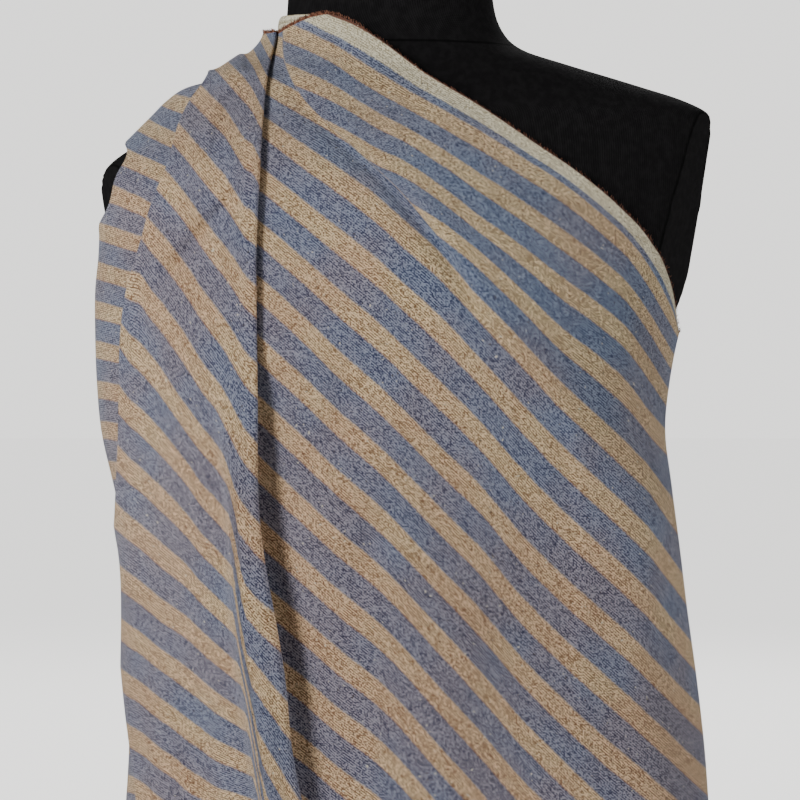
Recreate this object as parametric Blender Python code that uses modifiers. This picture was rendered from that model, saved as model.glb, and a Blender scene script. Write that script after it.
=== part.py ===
"""Striped linen cloth draped over one shoulder of a dress form.

The cloth is one sheet that goes round the form. Its upper edge falls from the left shoulder to below
the right arm plate, and its hem hangs just above the floor. It is worked out in four steps:

1. DRAPE_RINGS gives level sections of the smooth hanging shape, from the neck down to the hem.
2. Ribs run down that shape from the upper edge to the hem, one for each column of the sheet.
3. Two pleats turn the sheet back on itself, along the side fold and along the lip of the flap.
4. The tuck, the pipe fold and soft folds raise and lower the surface, and Solidify gives it its
   thickness.

The dress form is a loft through FORM_RINGS, cut flat where its arm plates are.

Lengths in the tables are millimetres. Left and right are as a viewer in front sees them, the front
faces -Y, and a fold line's seen_x and seen_z are where that viewer sees it against the plane Y = 0.
"""

import math

import bmesh
import bpy
import numpy as np
from mathutils import Vector

MM = 0.001
MODEL_NAME = "draped_cloth"
AXIS_PLACE = (-2.6, 1.9)

VIEW_DISTANCE = 2200.0
VIEW_HEIGHT = 350.0

SHEET_THICKNESS = 1.5
PLEAT_RISE = 7.0
TURN_REACH = 1.8
MOST_BULGE = 7.2
TURN_LIFT = 0.7
SIDE_FOLD_SHORT_OF_SIDE = 0.1
TUCK_CLIMB = 12.0
TUCK_SPREAD = 70.0

# The pipe fold, as shares of the way from its steep side to the lip.
PIPE_CLIMB_START = -0.2
PIPE_CLIMB_END = 0.35
PIPE_FALL_AT_LIP = 0.45

HEM_WAVE = 2.5
HEM_WAVES_ROUND = 3.0
HEM_WAVE_START = 1.0
HEM_WAVE_POWER = 6
BACK_FOLD_START = 0.08
BACK_FOLD_FULL = 0.92
FRONT_FOLD_FADE = 0.4
FOLD_END_FADE = 1.5

RING_STEPS = 26
EDGE_SAMPLES = 181
SLOPE_STEP = 0.002

# The arm opening: the rows it spans, and angles from the left side to its front and back edges.
ARM_OPENING_ROWS = (9, 13)
ARM_OPENING_FRONT = 0.36
ARM_OPENING_BOW = 0.33
ARM_OPENING_BACK = 0.36
ARM_OPENING_FROM_FOLD = 0.25

COLUMNS = {"back_left": 9, "arm": 4, "side": 4, "flap": 10, "front": 24, "back_right": 15}

FORM_COLUMNS = 44
PLATE_NORMAL = (0.91, -0.38, -0.15)
PLATE_REACH = 94.5
PLATE_FOOT = 320.0

# Level sections of the cloth: height, then how far it reaches left, right, forward and back.
DRAPE_RINGS = (
    (596, 77, 66, 60, 57),
    (586, 78, 68, 62, 59),
    (576, 79, 76, 64, 62),
    (568, 83, 88, 66, 64),
    (560, 91, 108, 67, 67),
    (554, 101, 130, 69, 70),
    (549, 113, 148, 70, 72),
    (544, 134, 164, 71, 75),
    (536, 146, 187, 73, 79),
    (528, 154, 197, 76, 83),
    (520, 162, 199, 79, 87),
    (511, 171, 199, 82, 93),
    (498, 184, 197, 86, 98),
    (485, 192, 196, 91, 102),
    (471, 193, 194, 96, 105),
    (458, 188, 192, 100, 107),
    (440, 188, 188, 106, 108),
    (418, 190, 182, 111, 108),
    (392, 190, 174, 114, 107),
    (362, 189, 168, 115, 105),
    (330, 186, 165, 115, 103),
    (295, 178, 169, 114, 102),
    (258, 170, 174, 112, 102),
    (218, 168, 179, 109, 102),
    (175, 168, 185, 107, 104),
    (130, 169, 190, 105, 107),
    (85, 172, 193, 104, 109),
    (45, 176, 195, 103, 110),
    (14, 179, 196, 102, 110),
)

# The dress form: height, then how far it reaches left, right, forward and back.
FORM_RINGS = (
    (0, 157, 157, 90, 94),
    (4, 160, 160, 92, 96),
    (30, 162, 162, 95, 99),
    (70, 163, 163, 96, 101),
    (110, 160, 160, 94, 99),
    (150, 151, 151, 91, 93),
    (190, 139, 139, 87, 83),
    (230, 132, 132, 85, 76),
    (270, 136, 136, 88, 76),
    (310, 147, 147, 96, 82),
    (345, 156, 155, 103, 88),
    (380, 164, 162, 106, 92),
    (403, 169, 171, 106, 95),
    (425, 174, 180, 104, 97),
    (445, 177, 184, 99, 97),
    (457, 180, 187, 95, 96),
    (464, 185, 188, 92, 97),
    (472, 188, 190, 90, 96),
    (481, 189, 191, 86, 93),
    (489, 187, 192, 83, 91),
    (497, 181, 193, 80, 88),
    (504, 172, 194, 78, 85),
    (511, 160, 195, 75, 82),
    (520, 149, 195, 72, 79),
    (529, 138, 192, 69, 74),
    (537, 124, 176, 66, 70),
    (544, 106, 154, 64, 66),
    (551, 93, 131, 62, 63),
    (559, 83, 104, 60, 60),
    (568, 76, 77, 58, 57),
    (580, 72, 64, 56, 54),
    (600, 70, 58, 55, 52),
    (638, 69, 57, 54, 51),
    (647, 66, 54, 51, 48),
    (650, 60, 48, 45, 42),
)

# The upper edge of the cloth across the front: seen_x, seen_z.
UPPER_EDGE = (
    (-80, 576),
    (-69, 583),
    (-56, 589),
    (-44, 591),
    (-31, 587),
    (-12, 575),
    (12, 557),
    (50, 534),
    (87, 509),
    (112, 492),
    (137, 471),
    (156, 450),
    (166, 432),
    (171, 414),
    (174, 392),
)

# The fold that stands over the side of the cloth: seen_z, seen_x, hidden width, rise.
SIDE_FOLD = (
    (0, -157, 16, 7),
    (103, -164, 16, 7),
    (162, -171, 16, 7),
    (200, -174, 16, 7),
    (250, -177, 16, 7),
    (319, -177, 16, 7),
    (381, -175, 16, 7),
    (419, -170, 16, 7),
    (450, -161, 15, 7),
    (472, -155, 14, 7),
    (497, -145, 12, 7),
    (524, -137, 10, 7),
    (536, -131, 8, 7),
    (550, -121, 7, 7),
    (576, -116, 6, 7),
)

# The lip of the flap, which lies over the front: seen_z, seen_x, hidden width, rise.
FLAP_LIP = (
    (0, -48, 22, 7),
    (100, -61, 22, 7),
    (125, -66, 22, 7),
    (175, -71, 22, 7),
    (212, -77, 22, 7),
    (250, -84, 22, 7),
    (275, -87, 21, 7),
    (350, -89, 20, 7),
    (412, -90, 18, 7),
    (444, -90, 16, 7),
    (488, -88, 14, 7),
    (525, -86, 10, 7),
    (550, -84, 7, 7),
    (576, -80, 5, 7),
)

# The tuck across the front, which opens out lower down: seen_z, seen_x, height.
FRONT_TUCK = (
    (0, 122, 0),
    (100, 116, 1),
    (162, 109, 2),
    (288, 109, 2.5),
    (325, 105, 2.5),
    (350, 96, 3),
    (368, 86, 3),
    (399, 56, 3.5),
    (422, 43, 4),
    (444, 30, 5),
    (462, 16, 5),
    (481, 0, 5),
    (510, -31, 5),
    (541, -62, 4),
    (562, -72, 2),
    (581, -73, 0),
)

# The pipe fold along the lower lip: seen_z, seen_x of its steep side, height.
PIPE_FOLD = (
    (0, -76, 15),
    (100, -87, 14),
    (150, -93, 13),
    (200, -100, 12),
    (260, -103, 10),
    (300, -106, 8),
    (340, -112, 4),
    (375, -116, 0),
)

# Soft folds seen from the front: x, z of the upper end, x, z of the lower end, width, height.
FRONT_FOLDS = (
    (-158, 350, -150, 230, 20, -4),
    (-150, 230, -134, 150, 18, -4),
    (-124, 150, -116, 60, 14, -5),
    (0, 390, -32, 343, 14, -3),
    (-14, 275, -30, 230, 14, -3),
    (30, 240, 20, 60, 30, 3),
    (66, 190, 74, 20, 26, -4),
    (-20, 170, -30, 20, 26, -4),
    (150, 300, 160, 60, 20, 4),
)

# Hanging folds round the sides and back: angle at the top and at the hem, width, height.
BACK_FOLDS = (
    (20, 15, 0.16, 3),
    (-8, -8, 0.16, -3),
    (-40, -30, 0.18, 5),
    (-66, -50, 0.16, -4),
    (-98, -74, 0.18, 6),
    (-118, -94, 0.16, -4),
    (-136, -116, 0.18, 5),
    (-154, -140, 0.16, -3),
)


def read_column(table, column):
    """Returns one column of a table as an array."""
    return np.array([row[column] for row in table], float)


def ease(part):
    """Returns a smooth rise from 0 to 1 over the same range."""
    held = np.clip(part, 0.0, 1.0)
    return held * held * (3.0 - 2.0 * held)


def smooth_read(at, places, values):
    """Reads values over rising places with a cubic curve through every row, level past both ends."""
    slopes = np.gradient(values, places)
    row = np.clip(np.searchsorted(places, at) - 1, 0, len(places) - 2)
    span = places[row + 1] - places[row]
    part = np.clip((at - places[row]) / span, 0.0, 1.0)
    rise = ease(part)
    leaving = part * (1.0 - part) ** 2 * span * slopes[row]
    arriving = part * part * (part - 1.0) * span * slopes[row + 1]
    return values[row] * (1.0 - rise) + values[row + 1] * rise + leaving + arriving


def read_line(table, height):
    """Returns seen_x, hidden width and rise of a pleat's line at the seen height."""
    places = read_column(table, 0)
    return [smooth_read(height, places, read_column(table, column)) for column in (1, 2, 3)]


def section_point(rings, ring, angle):
    """Returns points on level oval sections. Angle 0 is at the right and a quarter turn is in front."""
    places = np.arange(len(rings), dtype=float)
    height, left, right, front, back = (
        smooth_read(ring, places, read_column(rings, column)) for column in range(5)
    )
    across, along = np.cos(angle), np.sin(angle)
    x = across * np.where(across > 0.0, right, left)
    y = -along * np.where(along > 0.0, front, back)
    return np.stack([x, y, height + 0.0 * angle], axis=-1)


def drape_point(ring, angle):
    """Returns points on the smooth shape that the cloth hangs in."""
    return section_point(DRAPE_RINGS, ring, angle)


def drape_normal(ring, angle):
    """Returns the outward direction there, from small steps round the section and down it."""
    around = drape_point(ring, angle + SLOPE_STEP) - drape_point(ring, angle - SLOPE_STEP)
    down = drape_point(ring + SLOPE_STEP, angle) - drape_point(ring - SLOPE_STEP, angle)
    normal = np.cross(around, down)
    return normal / np.linalg.norm(normal, axis=-1, keepdims=True)


def seen(point):
    """Returns where a viewer in front sees a point against the plane Y = 0."""
    growth = VIEW_DISTANCE / (VIEW_DISTANCE + point[..., 1])
    return point[..., 0] * growth, VIEW_HEIGHT + (point[..., 2] - VIEW_HEIGHT) * growth


def upper_edge_rings():
    """Returns angles from right to left and the ring at which the cloth begins at each of them."""
    angles = np.linspace(0.0, math.pi, EDGE_SAMPLES)
    rings = np.linspace(0.0, len(DRAPE_RINGS) - 1.0, 4 * EDGE_SAMPLES)
    seen_x, seen_z = seen(drape_point(*np.meshgrid(rings, angles)))
    edge = smooth_read(seen_x, read_column(UPPER_EDGE, 0), read_column(UPPER_EDGE, 1))
    return angles, rings[np.argmax(seen_z <= edge, axis=1)]


def row_ring(share, angle, edge):
    """Returns the ring of a rib's row, from the upper edge at share 0 to the hem at share 1."""
    folded = np.abs(np.mod(angle + math.pi, 2.0 * math.pi) - math.pi)
    start = np.interp(folded, *edge)
    return start + (len(DRAPE_RINGS) - 1.0 - start) * share


def line_angles(table, shares, edge, last_angle):
    """Returns, for each row, the angle at which a pleat's line crosses it, and its width and rise."""
    angles = np.linspace(0.0, last_angle, EDGE_SAMPLES)
    angle = np.broadcast_to(angles, (len(shares), len(angles)))
    ring = row_ring(shares[:, None], angle, edge)
    place = drape_point(ring, angle)
    lifted = place + TURN_LIFT * PLEAT_RISE * drape_normal(ring, angle)
    seen_x, seen_z = seen(lifted)
    past = read_line(table, seen_z)[0] - seen_x
    first = np.argmax(np.maximum.accumulate(past, axis=1) >= 0.0, axis=1)
    first = np.where(past.max(axis=1) < 0.0, len(angles) - 1, np.maximum(first, 1))
    rows = np.arange(len(shares))
    before, after = past[rows, first - 1], past[rows, first]
    part = np.clip(-before / np.where(after == before, 1.0, after - before), 0.0, 1.0)
    crossing = angles[first - 1] + part * (angles[first] - angles[first - 1])
    ring = row_ring(shares, crossing, edge)
    step = drape_point(ring, crossing + SLOPE_STEP) - drape_point(ring, crossing - SLOPE_STEP)
    reach = np.linalg.norm(step, axis=-1) / (2.0 * SLOPE_STEP)
    height = seen(drape_point(ring, crossing))[1]
    width, rise = read_line(table, height)[1:]
    return crossing, width, rise, reach


def pleat_columns(line, upper_lift, lower_is_left):
    """Returns angle and lift columns of one pleat, from its left to its right.

    The sheet comes in low, runs past the line by the hidden width, turns back over itself, turns
    again at the line and leaves high. With lower_is_left false the same shape is mirrored.
    """
    crossing, width, rise, reach = line
    way = -1.0 if lower_is_left else 1.0
    middle = rise / 2.0
    turn = np.minimum(TURN_REACH, np.maximum(width, 0.0))
    bulge = np.minimum((upper_lift - middle) / 2.0, MOST_BULGE)
    bulge = bulge * np.clip(width / TURN_REACH, 0.0, 1.0)
    shape = [
        (width - turn, 0.0 * rise),
        (width, rise / 4.0),
        (width - turn, middle),
        (0.5 * (width - turn + bulge), middle),
    ]
    for step in range(5):
        swing = math.pi * (step / 4.0 - 0.5)
        shape.append(
            (
                bulge * (1.0 - math.cos(swing)),
                (upper_lift + middle) / 2.0 + (upper_lift - middle) / 2.0 * math.sin(swing),
            )
        )
    columns = [(crossing + way * offset / reach, lift) for offset, lift in shape]
    return columns if lower_is_left else columns[::-1]


def stretch(start, end, count):
    """Returns the angle columns that lie between two columns, at even steps."""
    return [start + (end - start) * (step + 1.0) / (count + 1.0) for step in range(count)]


def pipe_lift(seen_x, seen_z):
    """Returns the height of the pipe fold: a steep side, a round back and half its height at the lip."""
    places = read_column(PIPE_FOLD, 0)
    foot = smooth_read(seen_z, places, read_column(PIPE_FOLD, 1))
    height = smooth_read(seen_z, places, read_column(PIPE_FOLD, 2))
    lip = read_line(FLAP_LIP, seen_z)[0]
    part = (seen_x - foot) / (lip - foot)
    climb = ease((part - PIPE_CLIMB_START) / (PIPE_CLIMB_END - PIPE_CLIMB_START))
    fall = np.clip((part - PIPE_CLIMB_END) / (1.0 - PIPE_CLIMB_END), 0.0, 1.0)
    return height * (climb - PIPE_FALL_AT_LIP * fall * fall)


def tuck_lift(seen_x, seen_z):
    """Returns the height of the tuck: a steep step along its line that sinks away to the right."""
    places = read_column(FRONT_TUCK, 0)
    off = seen_x - smooth_read(seen_z, places, read_column(FRONT_TUCK, 1))
    height = smooth_read(seen_z, places, read_column(FRONT_TUCK, 2))
    spread = np.exp(-((np.maximum(off, 0.0) / TUCK_SPREAD) ** 2))
    return height * ease(0.5 + off / TUCK_CLIMB) * spread


def front_fold_lift(seen_x, seen_z):
    """Returns the sum of the soft folds: each is a bell across its line that dies out past its ends."""
    total = np.zeros_like(seen_x)
    for x_top, z_top, x_low, z_low, width, height in FRONT_FOLDS:
        along = np.array([x_low - x_top, z_low - z_top], float)
        length = np.linalg.norm(along)
        along /= length
        run = (seen_x - x_top) * along[0] + (seen_z - z_top) * along[1]
        off = (seen_x - x_top) * along[1] - (seen_z - z_top) * along[0]
        past = run - np.clip(run, 0.0, length)
        total += height * np.exp(-((off / width) ** 2) - (past / (FOLD_END_FADE * width)) ** 2)
    return total


def back_fold_lift(share, angle):
    """Returns the hanging folds of the sides and back, which grow towards the hem."""
    total = np.zeros_like(angle)
    for top, hem, width, height in BACK_FOLDS:
        middle = np.radians(top + (hem - top) * share)
        off = np.mod(angle - middle + math.pi, 2.0 * math.pi) - math.pi
        total += height * np.exp(-((off / width) ** 2))
    grown = (share - BACK_FOLD_START) / (BACK_FOLD_FULL - BACK_FOLD_START)
    return total * np.clip(grown, 0.0, 1.0)


def cloth_grid():
    """Returns the sheet's points as columns by rows, and the columns of the arm opening."""
    edge = upper_edge_rings()
    shares = np.linspace(0.0, 1.0, RING_STEPS + 1)
    side = line_angles(SIDE_FOLD, shares, edge, math.pi - SIDE_FOLD_SHORT_OF_SIDE)
    lip = line_angles(FLAP_LIP, shares, edge, math.pi)
    lip_place = drape_point(row_ring(shares, lip[0], edge), lip[0])
    lip_lift = PLEAT_RISE + pipe_lift(*seen(lip_place))

    side_pleat = pleat_columns(side, side[2], lower_is_left=True)
    lip_pleat = pleat_columns(lip, lip_lift, lower_is_left=False)

    first, last = ARM_OPENING_ROWS
    off_middle = np.clip((2.0 * shares * RING_STEPS - first - last) / (last - first), -1.0, 1.0)
    arm_front = math.pi - ARM_OPENING_FRONT + ARM_OPENING_BOW * off_middle**2
    arm_front = np.maximum(arm_front, side[0] + ARM_OPENING_FROM_FOLD)
    arm_back = np.maximum(math.pi + ARM_OPENING_BACK, arm_front + ARM_OPENING_BACK)
    level = np.zeros_like(shares)
    back = level + 1.5 * math.pi
    right = level + 0.0
    turned = level - 0.5 * math.pi

    columns = [(back, level)]
    columns += [(angle, level) for angle in stretch(back, arm_back, COLUMNS["back_left"])]
    columns += [(arm_back, level)]
    columns += [(angle, level) for angle in stretch(arm_back, arm_front, COLUMNS["arm"])]
    columns += [(arm_front, level)]
    columns += [(angle, level) for angle in stretch(arm_front, side_pleat[0][0], COLUMNS["side"])]
    columns += side_pleat
    flap_start = len(columns)
    flap = stretch(side_pleat[-1][0], lip_pleat[0][0], COLUMNS["flap"])
    columns += [(angle, level + PLEAT_RISE) for angle in flap]
    flap_end = len(columns)
    columns += lip_pleat
    columns += [(angle, level) for angle in stretch(lip_pleat[-1][0], right, COLUMNS["front"])]
    columns += [(right, level)]
    columns += [(angle, level) for angle in stretch(right, turned, COLUMNS["back_right"])]

    angle = np.array([column[0] for column in columns])
    lift = np.array([column[1] for column in columns])
    share = np.broadcast_to(shares, angle.shape)
    ring = row_ring(share, angle, edge)
    place = drape_point(ring, angle)
    seen_x, seen_z = seen(place)
    in_front = np.clip(np.sin(angle) / FRONT_FOLD_FADE, 0.0, 1.0)
    on_flap = np.zeros_like(angle)
    on_flap[flap_start:flap_end] = 1.0
    lift = lift + on_flap * pipe_lift(seen_x, seen_z) + in_front * tuck_lift(seen_x, seen_z)
    lift = lift + in_front * front_fold_lift(seen_x, seen_z)
    lift = lift + (1.0 - in_front) * back_fold_lift(share, angle)
    points = place + lift[..., None] * drape_normal(ring, angle)
    wave = np.sin(HEM_WAVES_ROUND * angle + HEM_WAVE_START)
    points[..., 2] += HEM_WAVE * wave * share**HEM_WAVE_POWER
    return points, (COLUMNS["back_left"] + 1, COLUMNS["back_left"] + COLUMNS["arm"] + 2)


def new_material(name, colour, roughness):
    """Returns a plain finish in the part's own colour."""
    material = bpy.data.materials.new(name)
    material.use_nodes = True
    shader = material.node_tree.nodes["Principled BSDF"]
    shader.inputs["Base Color"].default_value = (*colour, 1.0)
    shader.inputs["Roughness"].default_value = roughness
    shader.inputs["Metallic"].default_value = 0.0
    return material


def add_object(name, mesh_builder, collection, material):
    """Makes a smooth-shaded object from a filled bmesh, in metres."""
    mesh = bpy.data.meshes.new(name)
    mesh_builder.to_mesh(mesh)
    mesh_builder.free()
    mesh.shade_smooth()
    mesh.materials.append(material)
    obj = bpy.data.objects.new(name, mesh)
    collection.objects.link(obj)
    return obj


def place_vertices(mesh_builder, points):
    """Adds a vertex for each point of a grid, in metres, and returns them as nested lists."""
    shift = np.array([*AXIS_PLACE, 0.0])
    return [[mesh_builder.verts.new(Vector((p + shift) * MM)) for p in column] for column in points]


def build_cloth(collection, material):
    """Builds the draped sheet as an open surface with Solidify, leaving the arm opening out."""
    points, arm_columns = cloth_grid()
    sheet = bmesh.new()
    grid = place_vertices(sheet, points)
    for column in range(len(grid)):
        following = (column + 1) % len(grid)
        for row in range(RING_STEPS):
            in_opening = arm_columns[0] <= column < arm_columns[1]
            if in_opening and ARM_OPENING_ROWS[0] <= row < ARM_OPENING_ROWS[1]:
                continue
            corners = (
                grid[column][row],
                grid[column][row + 1],
                grid[following][row + 1],
                grid[following][row],
            )
            sheet.faces.new(corners)
    for vertex in [vertex for vertex in sheet.verts if not vertex.link_faces]:
        sheet.verts.remove(vertex)
    sheet.normal_update()
    cloth = add_object("striped_cloth", sheet, collection, material)
    thickness = cloth.modifiers.new("Thickness", "SOLIDIFY")
    thickness.thickness = SHEET_THICKNESS * MM
    thickness.offset = 0.0
    return cloth


def build_form(collection, material):
    """Lofts the dress form through its sections, with flat arm plates, a flat base and a flat top."""
    angles = np.linspace(0.0, 2.0 * math.pi, FORM_COLUMNS, endpoint=False)
    rings = np.arange(len(FORM_RINGS), dtype=float)
    points = section_point(FORM_RINGS, *np.meshgrid(rings, angles))
    for hand in (1.0, -1.0):
        normal = np.array([hand * PLATE_NORMAL[0], PLATE_NORMAL[1], PLATE_NORMAL[2]])
        normal /= np.linalg.norm(normal)
        past = np.maximum(points @ normal - PLATE_REACH, 0.0) * (points[..., 2] > PLATE_FOOT)
        points = points - past[..., None] * normal
    loft = bmesh.new()
    grid = place_vertices(loft, points)
    for column in range(len(grid)):
        following = (column + 1) % len(grid)
        for row in range(len(rings) - 1):
            corners = (
                grid[following][row],
                grid[following][row + 1],
                grid[column][row + 1],
                grid[column][row],
            )
            loft.faces.new(corners)
    loft.faces.new([column[0] for column in grid])
    loft.faces.new([column[-1] for column in reversed(grid)])
    bmesh.ops.recalc_face_normals(loft, faces=loft.faces)
    return add_object("dress_form", loft, collection, material)


def main():
    for obj in list(bpy.data.objects):
        bpy.data.objects.remove(obj, do_unlink=True)
    collection = bpy.data.collections.new(MODEL_NAME)
    bpy.context.scene.collection.children.link(collection)
    linen = new_material("striped_linen", (0.21, 0.19, 0.18), 0.85)
    jersey = new_material("black_jersey", (0.009, 0.009, 0.009), 0.8)
    build_form(collection, jersey)
    build_cloth(collection, linen)


main()
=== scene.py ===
"""Looks of a striped linen cloth that is draped over one shoulder of a black dress form.

The cloth is one thin sheet, worked out as whole numpy arrays on a grid of columns by rows. It
follows the folds of its solid at a finer step, with small creases added. A map on the sheet says
how far each place lies along the stripes and how many stripes it lies below the upper edge, and
the linen finish draws the stripes, the selvedge and the threads from that map.

Lengths in the tables are millimetres. Left and right are as a viewer in front sees them, the front
faces -Y, and seen_x and seen_z are where that viewer sees a place against the plane Y = 0.
"""

import logging
import math
from dataclasses import dataclass
from enum import Enum
from typing import Any

import bpy
import numpy as np
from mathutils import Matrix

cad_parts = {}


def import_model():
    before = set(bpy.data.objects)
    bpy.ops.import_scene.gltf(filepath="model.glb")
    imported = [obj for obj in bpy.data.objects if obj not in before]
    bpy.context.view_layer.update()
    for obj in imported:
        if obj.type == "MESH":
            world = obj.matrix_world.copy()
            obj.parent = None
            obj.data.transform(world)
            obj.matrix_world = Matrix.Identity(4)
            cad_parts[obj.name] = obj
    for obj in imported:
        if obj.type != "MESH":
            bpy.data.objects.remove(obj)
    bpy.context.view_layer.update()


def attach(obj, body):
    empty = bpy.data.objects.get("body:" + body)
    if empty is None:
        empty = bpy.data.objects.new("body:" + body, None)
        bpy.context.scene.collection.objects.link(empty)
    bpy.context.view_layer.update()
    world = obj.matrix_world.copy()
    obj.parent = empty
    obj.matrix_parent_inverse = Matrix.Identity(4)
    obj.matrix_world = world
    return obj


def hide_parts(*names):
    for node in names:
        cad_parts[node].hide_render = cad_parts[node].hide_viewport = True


Array = np.ndarray
Line = tuple[tuple[float, ...], ...]
Socket = bpy.types.NodeSocket
Value = bpy.types.NodeSocket | float | tuple[float, ...]
Inputs = dict[str | int, Value]
Colour = tuple[float, float, float]

LOG = logging.getLogger("draped_cloth")

MM = 0.001
AXIS_PLACE = (-2.6, 1.9)
VIEW_DISTANCE = 2200.0
VIEW_HEIGHT = 350.0
SLOPE_STEP = 0.002
HALF_TURN = math.pi
FULL_TURN = 2.0 * math.pi
BUMP_DEPTH = 0.0003

# One blue and one brown stripe together, and the count of stripes at the edge of the cloth.
REPEAT = 25.4
EDGE_COUNT = 0.193

# Level sections of the cloth: height, then how far it reaches left, right, forward and back.
DRAPE_RINGS = (
    (596, 77, 66, 60, 57),
    (586, 78, 68, 62, 59),
    (576, 79, 76, 64, 62),
    (568, 83, 88, 66, 64),
    (560, 91, 108, 67, 67),
    (554, 101, 130, 69, 70),
    (549, 113, 148, 70, 72),
    (544, 134, 164, 71, 75),
    (536, 146, 187, 73, 79),
    (528, 154, 197, 76, 83),
    (520, 162, 199, 79, 87),
    (511, 171, 199, 82, 93),
    (498, 184, 197, 86, 98),
    (485, 192, 196, 91, 102),
    (471, 193, 194, 96, 105),
    (458, 188, 192, 100, 107),
    (440, 188, 188, 106, 108),
    (418, 190, 182, 111, 108),
    (392, 190, 174, 114, 107),
    (362, 189, 168, 115, 105),
    (330, 186, 165, 115, 103),
    (295, 178, 169, 114, 102),
    (258, 170, 174, 112, 102),
    (218, 168, 179, 109, 102),
    (175, 168, 185, 107, 104),
    (130, 169, 190, 105, 107),
    (85, 172, 193, 104, 109),
    (45, 176, 195, 103, 110),
    (14, 179, 196, 102, 110),
)

# The dress form: height, then how far it reaches left, right, forward and back.
FORM_RINGS = (
    (0, 157, 157, 90, 94),
    (4, 160, 160, 92, 96),
    (30, 162, 162, 95, 99),
    (70, 163, 163, 96, 101),
    (110, 160, 160, 94, 99),
    (150, 151, 151, 91, 93),
    (190, 139, 139, 87, 83),
    (230, 132, 132, 85, 76),
    (270, 136, 136, 88, 76),
    (310, 147, 147, 96, 82),
    (345, 156, 155, 103, 88),
    (380, 164, 162, 106, 92),
    (403, 169, 171, 106, 95),
    (425, 174, 180, 104, 97),
    (445, 177, 184, 99, 97),
    (457, 180, 187, 95, 96),
    (464, 185, 188, 92, 97),
    (472, 188, 190, 90, 96),
    (481, 189, 191, 86, 93),
    (489, 187, 192, 83, 91),
    (497, 181, 193, 80, 88),
    (504, 172, 194, 78, 85),
    (511, 160, 195, 75, 82),
    (520, 149, 195, 72, 79),
    (529, 138, 192, 69, 74),
    (537, 124, 176, 66, 70),
    (544, 106, 154, 64, 66),
    (551, 93, 131, 62, 63),
    (559, 83, 104, 60, 60),
    (568, 76, 77, 58, 57),
    (580, 72, 64, 56, 54),
    (600, 70, 58, 55, 52),
    (638, 69, 57, 54, 51),
    (647, 66, 54, 51, 48),
    (650, 60, 48, 45, 42),
)

# The upper edge of the cloth across the front: seen_x, seen_z.
UPPER_EDGE = (
    (-80, 576),
    (-69, 583),
    (-56, 589),
    (-44, 591),
    (-31, 587),
    (-12, 575),
    (12, 557),
    (50, 534),
    (87, 509),
    (112, 492),
    (137, 471),
    (156, 450),
    (166, 432),
    (171, 414),
    (174, 392),
)

# The fold that stands over the side of the cloth: seen_z, seen_x, hidden width, rise.
SIDE_FOLD = (
    (0, -157, 16, 7),
    (103, -164, 16, 7),
    (162, -171, 16, 7),
    (200, -174, 16, 7),
    (250, -177, 16, 7),
    (319, -177, 16, 7),
    (381, -175, 16, 7),
    (419, -170, 16, 7),
    (450, -161, 15, 7),
    (472, -155, 14, 7),
    (497, -145, 12, 7),
    (524, -137, 10, 7),
    (536, -131, 8, 7),
    (550, -121, 7, 7),
    (576, -116, 6, 7),
)

# The lip of the flap, which lies over the front: seen_z, seen_x, hidden width, rise.
FLAP_LIP = (
    (0, -48, 22, 7),
    (100, -61, 22, 7),
    (125, -66, 22, 7),
    (175, -71, 22, 7),
    (212, -77, 22, 7),
    (250, -84, 22, 7),
    (275, -87, 21, 7),
    (350, -89, 20, 7),
    (412, -90, 18, 7),
    (444, -90, 16, 7),
    (488, -88, 14, 7),
    (525, -86, 10, 6),
    (550, -84, 7, 4.5),
    (576, -80, 5, 3.5),
)

# The tuck across the front, which opens out lower down: seen_z, seen_x, height.
FRONT_TUCK = (
    (0, 122, 0),
    (100, 116, 1),
    (162, 109, 2),
    (288, 109, 2.5),
    (325, 105, 2.5),
    (350, 96, 3),
    (368, 86, 3),
    (399, 56, 3.5),
    (422, 43, 4),
    (444, 30, 5),
    (462, 16, 5),
    (481, 0, 5),
    (510, -31, 5),
    (541, -62, 4),
    (562, -72, 2),
    (581, -73, 0),
)

# The pipe fold along the lower lip: seen_z, seen_x of its steep side, height.
PIPE_FOLD = (
    (0, -76, 15),
    (100, -87, 14),
    (150, -93, 13),
    (200, -100, 12),
    (260, -103, 10),
    (300, -106, 8),
    (340, -112, 4),
    (375, -116, 0),
)

# Soft folds seen from the front: x, z of the upper end, x, z of the lower end, width, height.
FRONT_FOLDS = (
    (-158, 350, -150, 230, 20, -4),
    (-150, 230, -134, 150, 18, -4),
    (-124, 150, -116, 60, 14, -5),
    (0, 390, -32, 343, 14, -3),
    (-14, 275, -30, 230, 14, -3),
    (30, 240, 20, 60, 30, 3),
    (66, 190, 74, 20, 26, -4),
    (-20, 170, -30, 20, 26, -4),
    (150, 300, 160, 60, 20, 4),
)

# Hanging folds round the sides and back: angle at the top and at the hem, width, height.
BACK_FOLDS = (
    (20, 15, 0.16, 3),
    (-8, -8, 0.16, -3),
    (-40, -30, 0.18, 5),
    (-66, -50, 0.16, -4),
    (-98, -74, 0.18, 6),
    (-118, -94, 0.16, -4),
    (-136, -116, 0.18, 5),
    (-154, -140, 0.16, -3),
)


def linear(red: float, green: float, blue: float) -> tuple[float, float, float, float]:
    """Turns a colour given as screen values from 0 to 255 into linear light.

    Args:
        red: Red screen value.
        green: Green screen value.
        blue: Blue screen value.

    Returns:
        The colour as linear values, with full opacity.
    """
    parts = []
    for part in (red, green, blue):
        part /= 255.0
        parts.append(part / 12.92 if part <= 0.04045 else ((part + 0.055) / 1.055) ** 2.4)
    return (parts[0], parts[1], parts[2], 1.0)


def read_column(table: Line, column: int) -> Array:
    """Returns one column of a table as an array."""
    return np.array([row[column] for row in table], float)


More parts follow.
